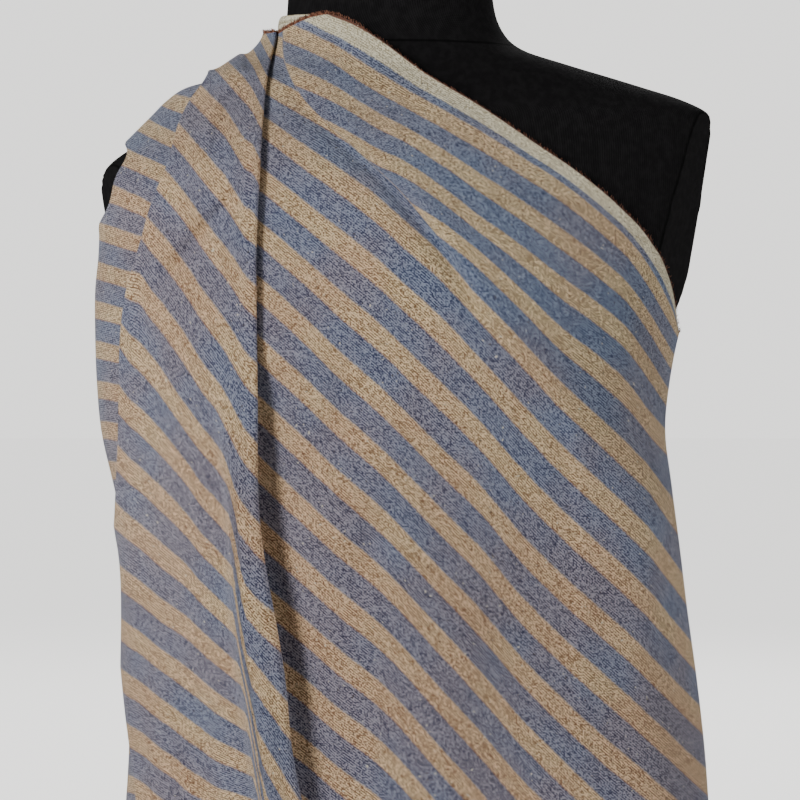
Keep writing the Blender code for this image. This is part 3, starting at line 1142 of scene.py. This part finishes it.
@dataclass(frozen=True)
class ClothSheet:
    """The draped sheet."""

    thickness: float = 0.7
    pleat_rise: float = 7.0
    turn_reach: float = 1.8
    turn_lift: float = 0.7
    hem_wave: float = 2.5
    tuck_climb: float = 6.0
    tuck_spread: float = 70.0
    side_fold_short_of_side: float = 0.1
    arm_opening_front: float = 0.42
    arm_opening_bow: float = 0.36
    arm_opening_back: float = 0.36
    arm_opening_from_fold: float = 0.22
    arm_opening_shares: tuple[float, float] = (9.0 / 26.0, 13.0 / 26.0)
    rows: int = 160
    row_shares: Line = ((0.0, 0.0), (0.5, 0.3), (0.9, 0.8), (1.0, 1.0))
    back_left_columns: int = 34
    arm_columns: int = 14
    side_columns: int = 16
    flap_columns: int = 54
    front_columns: int = 98
    back_right_columns: int = 42
    hidden_turn_steps: int = 4
    middle_steps: int = 3
    seen_turn_steps: int = 8
    pipe_change: float = 5.0
    side_shift: float = 2.0
    flap_shift: float = 6.0

    def shares(self) -> Array:
        """Returns how far down its rib each row lies, closer together in the upper part."""
        rows = np.linspace(0.0, 1.0, self.rows + 1)
        return np.interp(rows, read_column(self.row_shares, 0), read_column(self.row_shares, 1))

    def upper_edge_rings(self) -> tuple[Array, Array]:
        """Finds the ring at which the cloth begins at each angle.

        That is the first ring whose seen height is at or below the upper edge at its seen place.

        Returns:
            Angles from right to left, and the ring at each.
        """
        angles = np.linspace(0.0, HALF_TURN, 361)
        rings = np.linspace(0.0, len(DRAPE_RINGS) - 1.0, 1449)
        seen_x, seen_z = seen(section_point(DRAPE_RINGS, *np.meshgrid(rings, angles)))
        return angles, rings[np.argmax(seen_z <= read_table(UPPER_EDGE, seen_x), axis=1)]

    def row_ring(self, share: Array, angle: Array, edge: tuple[Array, Array]) -> Array:
        """Returns the ring of a rib's row, where the back's upper edge mirrors the front's.

        Args:
            share: How far down the rib, from 0 to 1.
            angle: The rib's angle.
            edge: What upper_edge_rings returned.

        Returns:
            Places in the table of sections.
        """
        folded = np.abs(np.mod(angle + HALF_TURN, FULL_TURN) - HALF_TURN)
        start = np.interp(folded, *edge)
        return start + (len(DRAPE_RINGS) - 1.0 - start) * share

    def fold_line(
        self, table: Line, shares: Array, edge: tuple[Array, Array], last_angle: float
    ) -> tuple[Array, Array, Array, Array]:
        """Finds where a pleat's line crosses each row.

        Going round from the right, the crossing is where seen_x first reaches the line, found
        between two samples by even shares.

        Args:
            table: The line, as seen_z, seen_x, hidden width and rise.
            shares: The rows.
            edge: What upper_edge_rings returned.
            last_angle: Where the search ends.

        Returns:
            Angle, hidden width, rise and the distance for one radian there, for each row.
        """
        angles = np.linspace(0.0, last_angle, 361)
        angle = np.broadcast_to(angles, (len(shares), len(angles)))
        ring = self.row_ring(shares[:, None], angle, edge)
        place = section_point(DRAPE_RINGS, ring, angle)
        outward = section_normal(DRAPE_RINGS, ring, angle, downwards=True)
        seen_x, seen_z = seen(place + self.turn_lift * self.pleat_rise * outward)
        past = read_table(table, seen_z) - seen_x
        first = np.argmax(np.maximum.accumulate(past, axis=1) >= 0.0, axis=1)
        first = np.where(past.max(axis=1) < 0.0, len(angles) - 1, np.maximum(first, 1))
        rows = np.arange(len(shares))
        before, after = past[rows, first - 1], past[rows, first]
        part = np.clip(-before / np.where(after == before, 1.0, after - before), 0.0, 1.0)
        crossing = angles[first - 1] + part * (angles[first] - angles[first - 1])
        ring = self.row_ring(shares, crossing, edge)
        step = section_point(DRAPE_RINGS, ring, crossing + SLOPE_STEP)
        step = step - section_point(DRAPE_RINGS, ring, crossing - SLOPE_STEP)
        reach = np.linalg.norm(step, axis=-1) / (2.0 * SLOPE_STEP)
        height = seen(section_point(DRAPE_RINGS, ring, crossing))[1]
        width, rise = (read_table(table, height, column) for column in (2, 3))
        return crossing, width, rise, reach

    def pleat_columns(
        self, line: tuple[Array, Array, Array, Array], upper_lift: Array, turn: Turn
    ) -> list[tuple[Array, Array]]:
        """Returns angle and lift columns of one pleat, from its left to its right.

        The sheet comes in low, goes past the line by the hidden width and round a half circle, back
        through the middle layer, and round a half oval at the line up to the high layer.

        Args:
            line: What fold_line returned.
            upper_lift: Height of the high layer.
            turn: Which end the low layer comes in from.

        Returns:
            One pair of arrays over the rows for each column.
        """
        crossing, width, rise, reach = line
        middle = rise / 2.0
        bend = np.minimum(self.turn_reach, np.maximum(width, 0.0))
        bulge = np.minimum((upper_lift - middle) / 2.0, 4.0 * self.turn_reach)
        bulge = bulge * np.clip(width / self.turn_reach, 0.0, 1.0)
        shape = []
        for swing in np.linspace(-0.5, 0.5, self.hidden_turn_steps + 1) * HALF_TURN:
            offset = width - bend + bend * math.cos(swing)
            shape.append((offset, middle * (0.5 + 0.5 * math.sin(swing))))
        for part in np.linspace(1.0, 0.0, self.middle_steps + 2)[1:-1]:
            shape.append((part * (width - bend) + (1.0 - part) * bulge, middle))
        for swing in np.linspace(-0.5, 0.5, self.seen_turn_steps + 1) * HALF_TURN:
            lift = (upper_lift + middle) / 2.0 + (upper_lift - middle) / 2.0 * math.sin(swing)
            shape.append((bulge * (1.0 - math.cos(swing)), lift))
        way = -turn.value
        columns = [(crossing - way * offset / reach, lift) for offset, lift in shape]
        return columns if turn is Turn.LOWER_LEFT else columns[::-1]

    def pipe_lift(self, seen_x: Array, seen_z: Array) -> Array:
        """Works out the pipe fold: a steep side, a round back and about half height at the lip.

        Args:
            seen_x: Place across.
            seen_z: Place up.

        Returns:
            The height that the fold adds.
        """
        foot, height = (read_table(PIPE_FOLD, seen_z, column) for column in (1, 2))
        lip = read_table(FLAP_LIP, seen_z)
        part = (seen_x - foot) / (lip - foot)
        fall = np.clip((part - 0.35) / 0.65, 0.0, 1.0)
        return height * (ease((part + 0.2) / 0.55) - 0.45 * fall * fall)

    def tuck_lift(self, seen_x: Array, seen_z: Array) -> Array:
        """Works out the tuck: a steep step along its line that sinks away to the right.

        Args:
            seen_x: Place across.
            seen_z: Place up.

        Returns:
            The height that the tuck adds.
        """
        line, height = (read_table(FRONT_TUCK, seen_z, column) for column in (1, 2))
        off = seen_x - line
        spread = np.exp(-((np.maximum(off, 0.0) / self.tuck_spread) ** 2))
        return height * ease(0.5 + off / self.tuck_climb) * spread

    @staticmethod
    def front_fold_lift(seen_x: Array, seen_z: Array) -> Array:
        """Adds up the soft folds, each a bell across its line that dies out past its ends.

        Args:
            seen_x: Place across.
            seen_z: Place up.

        Returns:
            The height that the folds add.
        """
        total = np.zeros_like(seen_x)
        for x_top, z_top, x_low, z_low, width, height in FRONT_FOLDS:
            along = np.array([x_low - x_top, z_low - z_top], float)
            length = np.linalg.norm(along)
            along /= length
            run = (seen_x - x_top) * along[0] + (seen_z - z_top) * along[1]
            off = (seen_x - x_top) * along[1] - (seen_z - z_top) * along[0]
            past = run - np.clip(run, 0.0, length)
            total += height * np.exp(-((off / width) ** 2) - (past / (1.5 * width)) ** 2)
        return total

    @staticmethod
    def back_fold_lift(share: Array, angle: Array) -> Array:
        """Adds up the hanging folds of the sides and back, which grow towards the hem.

        Args:
            share: How far down the rib, from 0 to 1.
            angle: Angle round the section.

        Returns:
            The height that the folds add.
        """
        total = np.zeros_like(angle)
        for top, hem, width, height in BACK_FOLDS:
            middle = np.radians(top + (hem - top) * share)
            off = np.mod(angle - middle + HALF_TURN, FULL_TURN) - HALF_TURN
            total += height * np.exp(-((off / width) ** 2))
        return total * np.clip(1.2 * share - 0.1, 0.0, 1.0)

    def grid(self) -> "SheetGrid":
        """Works out the sheet's points and its stripe map.

        Returns:
            The grid of columns by rows.
        """
        edge = self.upper_edge_rings()
        shares = self.shares()
        side = self.fold_line(SIDE_FOLD, shares, edge, HALF_TURN - self.side_fold_short_of_side)
        lip = self.fold_line(FLAP_LIP, shares, edge, HALF_TURN)
        lip_place = section_point(DRAPE_RINGS, self.row_ring(shares, lip[0], edge), lip[0])
        lip_lift = lip[2] + self.pipe_lift(*seen(lip_place))
        side_pleat = self.pleat_columns(side, side[2], Turn.LOWER_LEFT)
        lip_pleat = self.pleat_columns(lip, lip_lift, Turn.LOWER_RIGHT)

        low, high = self.arm_opening_shares
        off_middle = np.clip((2.0 * shares - low - high) / (high - low), -1.0, 1.0)
        arm_front = HALF_TURN - self.arm_opening_front + self.arm_opening_bow * off_middle**4
        arm_front = np.maximum(arm_front, side[0] + self.arm_opening_from_fold)
        arm_width = self.arm_opening_back * (1.0 - 0.8 * off_middle**4)
        arm_back = np.maximum(HALF_TURN, arm_front) + arm_width
        level = np.zeros_like(shares)
        back = level + 1.5 * HALF_TURN
        right = level
        turned = level - 0.5 * HALF_TURN
        seen_turn = self.seen_turn_steps + 1
        layers: list[tuple[Array, Array, float, float, float]] = []

        def stretch(
            start: tuple[Array, Array], end: tuple[Array, Array], count: int, *weights: float
        ) -> None:
            """Adds the columns between two others, at even steps.

            Args:
                start: Angle and lift of the column before them.
                end: Angle and lift of the column after them.
                count: How many are added.
                *weights: How far they belong to the side, the flap and the front.
            """
            for step in range(count):
                part = (step + 1.0) / (count + 1.0)
                angle, lift = (low + (high - low) * part for low, high in zip(start, end))
                layers.append((angle, lift, *weights))

        layers.append((back, level, 0.0, 0.0, 0.0))
        for step in range(self.back_left_columns):
            part = (step + 1.0) / (self.back_left_columns + 1.0)
            grown = float(ease(np.array(2.0 * part - 1.0)))
            layers.append((back + (arm_back - back) * part, level, grown, 0.0, 0.0))
        arm_first = len(layers)
        layers.append((arm_back, level, 1.0, 0.0, 0.0))
        stretch((arm_back, level), (arm_front, level), self.arm_columns, 1.0, 0.0, 0.0)
        arm_last = len(layers)
        layers.append((arm_front, level, 1.0, 0.0, 0.0))
        stretch((arm_front, level), side_pleat[0], self.side_columns, 1.0, 0.0, 0.0)
        hidden_turn = self.hidden_turn_steps + 1
        for step, (angle, lift) in enumerate(side_pleat):
            flap = min(max((step - hidden_turn + 1.0) / (self.middle_steps + 1.0), 0.0), 1.0)
            layers.append((angle, lift, 1.0 - flap, flap, 0.0))
        flap_first = len(layers)
        flap_start, flap_stop = (side_pleat[-1][0], side[2]), (lip_pleat[0][0], lip[2])
        stretch(flap_start, flap_stop, self.flap_columns, 0.0, 1.0, 0.0)
        flap_end = len(layers)
        for step, (angle, lift) in enumerate(lip_pleat):
            flap = 1.0 - min(max((step - seen_turn + 1.0) / (self.middle_steps + 1.0), 0.0), 1.0)
            layers.append((angle, lift, 0.0, flap, 1.0 - flap))
        stretch((lip_pleat[-1][0], level), (right, level), self.front_columns, 0.0, 0.0, 1.0)
        layers.append((right, level, 0.0, 0.0, 1.0))
        for step in range(self.back_right_columns):
            part = (step + 1.0) / (self.back_right_columns + 1.0)
            fade = float(ease(np.array(1.0 - 2.0 * part)))
            layers.append((right + (turned - right) * part, level, 0.0, 0.0, fade))

        angle = np.array([layer[0] for layer in layers])
        lift = np.array([layer[1] for layer in layers])
        weights = np.array([layer[2:] for layer in layers])
        share = np.broadcast_to(shares, angle.shape)
        ring = self.row_ring(share, angle, edge)
        place = section_point(DRAPE_RINGS, ring, angle)
        seen_x, seen_z = seen(place)
        in_front = np.clip(2.5 * np.sin(angle), 0.0, 1.0)
        on_flap = np.zeros_like(angle)
        on_flap[flap_first:flap_end] = 1.0
        lift = lift + on_flap * self.pipe_lift(seen_x, seen_z)
        lift = lift + in_front * self.tuck_lift(seen_x, seen_z)
        lift = lift + in_front * self.front_fold_lift(seen_x, seen_z)
        lift = lift + (1.0 - in_front) * self.back_fold_lift(share, angle)
        for crease in FLAP_CREASES:
            lift = lift + weights[:, 1:2] * crease.lift(seen_x, seen_z)
        for crease in FRONT_CREASES:
            lift = lift + weights[:, 2:3] * in_front * crease.lift(seen_x, seen_z)
        points = place + lift[..., None] * section_normal(DRAPE_RINGS, ring, angle, downwards=True)
        points[..., 2] += self.hem_wave * np.sin(3.0 * angle + 1.0) * share**6
        count, above, past = self.stripe_count(points, place, weights)
        around = self.distance_around(place)
        return SheetGrid(points, count, above, past, around, share, (arm_first, arm_last))

    def stripe_count(
        self, points: Array, place: Array, weights: Array
    ) -> tuple[Array, Array, Array]:
        """Works out how many stripes below the upper edge each place lies.

        In front it is read from the lines of the layer. Round the sides and back it is the distance
        down the rib over the repeat.

        Args:
            points: The sheet's points.
            place: The points before any fold raised them.
            weights: For each column, how far it belongs to the side, the flap and the front.

        Returns:
            The count at each point, what is added to it above the tuck, and how far it lies past
            the tuck's line.
        """
        steps = np.linalg.norm(np.diff(place, axis=1), axis=-1)
        down = np.concatenate([np.zeros((len(place), 1)), np.cumsum(steps, axis=1)], axis=1)
        plain = EDGE_COUNT + down / REPEAT
        seen_x, seen_z = seen(points)
        hidden = np.where(weights[:, :1] > 0.0, seen_x, 1000.0)
        outermost = np.minimum.accumulate(hidden[::-1], axis=0)[::-1]
        side = self.side_shift + SIDE_LINES.count(np.minimum(outermost, seen_x), seen_z)
        on_pipe = ease(0.5 + (seen_x - read_table(PIPE_FOLD, seen_z)) / self.pipe_change)
        left, right = FLAP_LEFT.count(seen_x, seen_z), FLAP_RIGHT.count(seen_x, seen_z)
        flap = self.flap_shift + left + on_pipe * (right - left)
        reached = np.where(weights[:, 2:3] > 0.0, seen_x, -1000.0)
        reached = np.maximum(np.maximum.accumulate(reached, axis=0), seen_x)
        below, above = FRONT_BELOW.count(reached, seen_z), FRONT_ABOVE.count(reached, seen_z)
        side_share, flap_share, front_share = (weights[:, layer : layer + 1] for layer in range(3))
        rest = 1.0 - side_share - flap_share - front_share
        count = rest * plain + side_share * side + flap_share * flap + front_share * below
        return count, front_share * (above - below), seen_x - read_table(FRONT_TUCK, seen_z)

    @staticmethod
    def distance_around(place: Array) -> Array:
        """Measures how far round the sheet each point lies from the first column.

        Args:
            place: The points before any fold raised them.

        Returns:
            The distance, as repeats.
        """
        steps = np.linalg.norm(np.diff(place, axis=0), axis=-1)
        around = np.concatenate([np.zeros((1, place.shape[1])), np.cumsum(steps, axis=0)], axis=0)
        return around / REPEAT

    def build(self) -> tuple[bpy.types.Object, "SheetGrid"]:
        """Builds the sheet as an open surface, with Solidify for its thickness.

        Returns:
            The object and its grid.
        """
        grid = self.grid()
        columns, rows = grid.count.shape
        column, row, faces = wall_faces(columns, rows)
        middle = 0.5 * (grid.share[0, :-1] + grid.share[0, 1:])
        low, high = self.arm_opening_shares
        opened = (column >= grid.arm[0]) & (column < grid.arm[1])
        opened &= ((middle > low) & (middle < high))[None, :]
        column, row, faces = column[~opened], row[~opened], faces[~opened]
        cloth = add_mesh("draped_linen", grid.points, faces.tolist())
        gap = np.linalg.norm(grid.points[0] - grid.points[-1], axis=-1)
        last = grid.around[-1] + gap / REPEAT
        corner_around = grid.around.ravel()[faces]
        closing = column == columns - 1
        corner_around[closing, 2] = last[row[closing] + 1]
        corner_around[closing, 3] = last[row[closing]]
        set_map(cloth, "weave", np.stack([corner_around, grid.count.ravel()[faces]], axis=-1))
        set_attribute(cloth, "above_tuck", grid.above)
        set_attribute(cloth, "past_tuck", grid.past)
        thicken(cloth, self.thickness)
        return cloth, grid

    def dress(self, cloth: bpy.types.Object, material: bpy.types.Material) -> None:
        """Gives the sheet its finish and ties it to the solid that it stands for."""
        cloth.data.materials.append(material)
        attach(cloth, "root")
        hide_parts("striped_cloth")


@dataclass(frozen=True)
class SheetGrid:
    """The sheet worked out on columns by rows.

    Attributes:
        points: Points in millimetres.
        count: Stripes below the upper edge.
        above: What is added to the count right of and above the tuck.
        past: How far right of the tuck's line each point is seen.
        around: Distance round the sheet, as repeats.
        share: How far down its rib each row lies.
        arm: First column of the arm opening and the column after its last.
    """

    points: Array
    count: Array
    above: Array
    past: Array
    around: Array
    share: Array
    arm: tuple[int, int]


@dataclass(frozen=True)
class Fringe:
    """The frayed threads that stand along the upper edge."""

    threads: int = 2200
    dense_place: float = -68.0
    dense_reach: float = 26.0
    dense_gain: float = 7.0
    dense_radius: float = 0.28
    length: tuple[float, float] = (1.6, 3.4)
    sideways: float = 1.2
    outwards: float = 0.8
    radius: float = 0.17
    sides: int = 3
    steps: int = 3
    seed: int = 7

    def build(self, grid: SheetGrid) -> bpy.types.Object:
        """Builds every thread in one mesh.

        A thread's centre is its root plus the upward direction times its share, plus sideways and
        outward bends times that share squared. Its radius falls to half at the tip.

        Args:
            grid: The sheet whose first row the threads stand on.

        Returns:
            The object.
        """
        chance = np.random.default_rng(self.seed)
        top, below = grid.points[:, 0], grid.points[:, 1]
        loop = np.concatenate([top, top[:1]])
        steps = np.linalg.norm(np.diff(loop, axis=0), axis=-1)
        places = np.concatenate([[0.0], np.cumsum(steps)])
        dense = np.exp(-(((top[:, 0] - self.dense_place) / self.dense_reach) ** 2))
        dense = dense * (top[:, 1] < 0.0)
        weight = np.concatenate([[0.0], np.cumsum(steps * (1.0 + self.dense_gain * dense))])
        at = np.interp(np.sort(chance.uniform(0.0, weight[-1], self.threads)), weight, places)
        slot = np.clip(np.searchsorted(places, at) - 1, 0, len(top) - 1)
        part = ((at - places[slot]) / steps[slot])[:, None]
        root = loop[slot] * (1.0 - part) + loop[slot + 1] * part
        edge = (loop[slot + 1] - loop[slot]) / steps[slot][:, None]
        down = (below - top)[slot % len(top)]
        up = -down / np.linalg.norm(down, axis=-1, keepdims=True)
        outward = np.cross(edge, up)
        outward /= np.linalg.norm(outward, axis=-1, keepdims=True)
        outward *= np.sign(np.sum(outward * (root * (1.0, 1.0, 0.0)), axis=-1, keepdims=True))
        length = chance.uniform(*self.length, (self.threads, 1, 1))
        share = np.linspace(0.0, 1.0, self.steps + 1)[None, :, None]
        lean = chance.normal(0.0, self.sideways, (self.threads, 1, 1))
        curl = chance.normal(0.2, self.outwards, (self.threads, 1, 1))
        centre = root[:, None] - up[:, None] * 0.5 + up[:, None] * length * share
        centre = centre + edge[:, None] * lean * share**2 + outward[:, None] * curl * share**2
        turn = np.arange(self.sides) / self.sides * FULL_TURN
        density = dense[slot % len(top), None, None, None]
        radius = self.radius + (self.dense_radius - self.radius) * density
        radius = radius * (1.0 - 0.5 * share[..., None])
        ring = np.cos(turn)[None, None, :, None] * edge[:, None, None]
        ring = ring + np.sin(turn)[None, None, :, None] * outward[:, None, None]
        points = centre[:, :, None] + radius * ring
        number = np.arange(points[..., 0].size).reshape(points.shape[:3])
        turned = np.roll(number, -1, axis=2)
        walls = np.stack(
            [number[:, :-1], turned[:, :-1], turned[:, 1:], number[:, 1:]], axis=-1
        ).reshape(-1, 4)
        ends = number[:, 0, ::-1].tolist() + number[:, -1].tolist()
        return add_mesh("frayed_edge", points, walls.tolist() + ends)

    def dress(self, fringe: bpy.types.Object, material: bpy.types.Material) -> None:
        """Gives the threads their finish and ties them to the cloth's solid."""
        fringe.data.materials.append(material)
        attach(fringe, "root")
        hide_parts("striped_cloth")


@dataclass(frozen=True)
class DressForm:
    """The jersey-covered form that the cloth hangs from."""

    columns: int = 160
    steps_each_ring: int = 5
    plate_normal: tuple[float, float, float] = (0.91, -0.38, -0.15)
    plate_reach: tuple[float, float] = (94.5, 97.5)
    plate_foot: float = 320.0

    def build(self) -> bpy.types.Object:
        """Lofts the form through its sections, flat where its arm plates are, and closes both ends.

        Returns:
            The object, with a map named knit and the attribute plate_edge.
        """
        rings = np.linspace(
            0.0, len(FORM_RINGS) - 1.0, (len(FORM_RINGS) - 1) * self.steps_each_ring + 1
        )
        angles = np.linspace(0.0, FULL_TURN, self.columns, endpoint=False)
        points = section_point(FORM_RINGS, *np.meshgrid(rings, angles))
        nearest = np.full(points.shape[:2], -100.0)
        for hand, reach in zip((-1.0, 1.0), self.plate_reach):
            normal = np.array([hand * self.plate_normal[0], *self.plate_normal[1:]])
            normal /= np.linalg.norm(normal)
            past = points @ normal - reach
            past = np.where(points[..., 2] > self.plate_foot, past, -100.0)
            nearest = np.maximum(nearest, past)
            points = points - np.maximum(past, 0.0)[..., None] * normal
        columns, rows = nearest.shape
        column, row, faces = wall_faces(columns, rows)
        faces = faces.reshape(-1, 4)
        foot = np.arange(columns) * rows
        caps = [foot[::-1].tolist(), (foot + rows - 1).tolist()]
        form = add_mesh("jersey_form", points, faces.tolist() + caps)
        steps = np.linalg.norm(np.diff(points, axis=0, append=points[:1]), axis=-1)
        around = np.concatenate([np.zeros((1, rows)), np.cumsum(steps, axis=0)], axis=0)
        places = ((column, row), (column, row + 1), (column + 1, row + 1), (column + 1, row))
        wall = np.stack([around[place] for place in places], axis=-1).reshape(-1, 4)
        heights = points[..., 2].ravel()[faces]
        corners = np.stack([wall, heights], axis=-1).reshape(-1, 2)
        set_map(form, "knit", np.concatenate([corners, np.zeros((2 * columns, 2))]))
        set_attribute(form, "plate_edge", nearest)
        return form

    def dress(self, form: bpy.types.Object, material: bpy.types.Material) -> None:
        """Gives the form its finish and ties it to its solid."""
        form.data.materials.append(material)
        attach(form, "root")
        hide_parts("dress_form")


@dataclass(frozen=True)
class Underlap:
    """The pale end of cloth that shows between the neck and the frayed edge."""

    first_angle: float = 2.38
    last_angle: float = 3.25
    top: tuple[float, float] = (0.9, 0.65)
    corner: float = 1.2
    foot: float = 3.0
    depth: float = 2.2
    columns: int = 24
    rows: int = 18
    thickness: float = 0.6

    def build(self) -> bpy.types.Object:
        """Builds the piece on the smooth hanging shape, set in by its depth.

        Returns:
            The object, with a map named weave.
        """
        across = np.linspace(0.0, 1.0, self.columns + 1)[:, None]
        down = np.linspace(0.0, 1.0, self.rows + 1)[None, :]
        angle = self.first_angle + (self.last_angle - self.first_angle) * across + 0.0 * down
        top = self.top[0] + (self.top[1] - self.top[0]) * across
        top = top + self.corner * np.maximum(2.0 * across - 1.0, 0.0) ** 2
        ring = top + (self.foot - top) * down
        points = section_point(DRAPE_RINGS, ring, angle)
        points = points - self.depth * section_normal(DRAPE_RINGS, ring, angle, downwards=True)
        columns, rows = angle.shape
        number = np.arange(columns * rows).reshape(columns, rows)
        faces = np.stack(
            [number[:-1, 1:], number[1:, 1:], number[1:, :-1], number[:-1, :-1]], axis=-1
        ).reshape(-1, 4)
        patch = add_mesh("selvedge_underlap", points, faces.tolist())
        chart = np.stack([across * 3.0 + 0.0 * down, 0.3 + 0.25 * down + 0.0 * across], axis=-1)
        set_map(patch, "weave", chart.reshape(-1, 2)[faces])
        thicken(patch, self.thickness)
        return patch

    def dress(self, patch: bpy.types.Object, material: bpy.types.Material) -> None:
        """Gives the piece its finish and ties it to the cloth's solid."""
        patch.data.materials.append(material)
        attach(patch, "root")
        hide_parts("striped_cloth")


@dataclass(frozen=True)
class Studio:
    """The plain floor, the soft lights and the camera. Places are in metres."""

    floor_half: float = 30.0
    floor_colour: Colour = (224, 223, 221)
    world_colour: Colour = (224, 223, 221)
    world_strength: float = 0.14
    world_seen: float = 2.2
    floor_lift: float = 2.0
    camera_place: tuple[float, float, float] = (-0.0026, -2.1981, 0.350)
    lens: float = 158.4
    sensor: float = 36.0
    lights: tuple[tuple[str, tuple[float, float, float], float, float], ...] = (
        ("key_light", (-2.15, -2.08, 1.35), 0.9, 78.0),
        ("fill_light", (2.6, -0.9, 0.9), 1.0, 28.0),
        ("back_light", (0.4, 2.2, 1.8), 1.2, 24.0),
    )
    aim: tuple[float, float, float] = (0.0, 0.0, 0.35)

    def build(self) -> None:
        """Builds the floor, the world, the lights and the camera."""
        half = self.floor_half
        mesh = bpy.data.meshes.new("floor")
        mesh.from_pydata(
            [(-half, -half, 0.0), (half, -half, 0.0), (half, half, 0.0), (-half, half, 0.0)],
            [],
            [(0, 1, 2, 3)],
        )
        floor = bpy.data.objects.new("floor", mesh)
        bpy.context.scene.collection.objects.link(floor)
        material, graph, shader = new_material("pale_floor", 0.9)
        shader.inputs["Base Color"].default_value = linear(*self.floor_colour)
        shader.inputs["Emission Color"].default_value = linear(*self.floor_colour)
        looking = graph.node("ShaderNodeLightPath").outputs["Is Camera Ray"]
        lit = graph.math("MULTIPLY", looking, self.floor_lift)
        graph.feed(shader.inputs["Emission Strength"], lit)
        floor.data.materials.append(material)

        world = bpy.data.worlds.new("soft_room")
        world.use_nodes = True
        background = world.node_tree.nodes["Background"]
        background.inputs["Color"].default_value = linear(*self.world_colour)
        room = Graph(world.node_tree)
        looking = room.node("ShaderNodeLightPath").outputs["Is Camera Ray"]
        strength = room.spread(looking, self.world_strength, self.world_seen)
        room.feed(background.inputs["Strength"], strength)
        bpy.context.scene.world = world

        for name, place, size, energy in self.lights:
            light = bpy.data.lights.new(name, "AREA")
            light.shape = "SQUARE"
            light.size = size
            light.energy = energy
            lamp = bpy.data.objects.new(name, light)
            lamp.location = place
            away = lamp.location.copy()
            away.x -= self.aim[0]
            away.y -= self.aim[1]
            away.z -= self.aim[2]
            lamp.rotation_euler = away.to_track_quat("Z", "Y").to_euler()
            bpy.context.scene.collection.objects.link(lamp)

        lens = bpy.data.cameras.new("view_camera")
        lens.sensor_width = self.sensor
        lens.lens = self.lens
        lens.clip_end = 200.0
        camera = bpy.data.objects.new("view_camera", lens)
        camera.location = self.camera_place
        camera.rotation_euler = (HALF_TURN / 2.0, 0.0, 0.0)
        bpy.context.scene.collection.objects.link(camera)
        bpy.context.scene.camera = camera


def main() -> None:
    logging.basicConfig(level=logging.INFO, format="%(name)s: %(message)s")
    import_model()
    groups = Groups.build()
    linen = LinenFinish().material(groups)
    threads = ThreadFinish().material()
    jersey = JerseyFinish().material(groups)

    dress_form = DressForm()
    form = dress_form.build()
    dress_form.dress(form, jersey)
    LOG.info("dress form: %d faces", len(form.data.polygons))

    sheet = ClothSheet()
    cloth, grid = sheet.build()
    sheet.dress(cloth, linen)
    LOG.info("cloth: %d faces", len(cloth.data.polygons))

    fringe_maker = Fringe()
    fringe = fringe_maker.build(grid)
    fringe_maker.dress(fringe, threads)
    LOG.info("frayed edge: %d faces", len(fringe.data.polygons))

    underlap = Underlap()
    patch = underlap.build()
    underlap.dress(patch, linen)
    LOG.info("underlap: %d faces", len(patch.data.polygons))

    Studio().build()
    LOG.info("studio: floor, lights and camera")


if __name__ == "__main__":
    main()
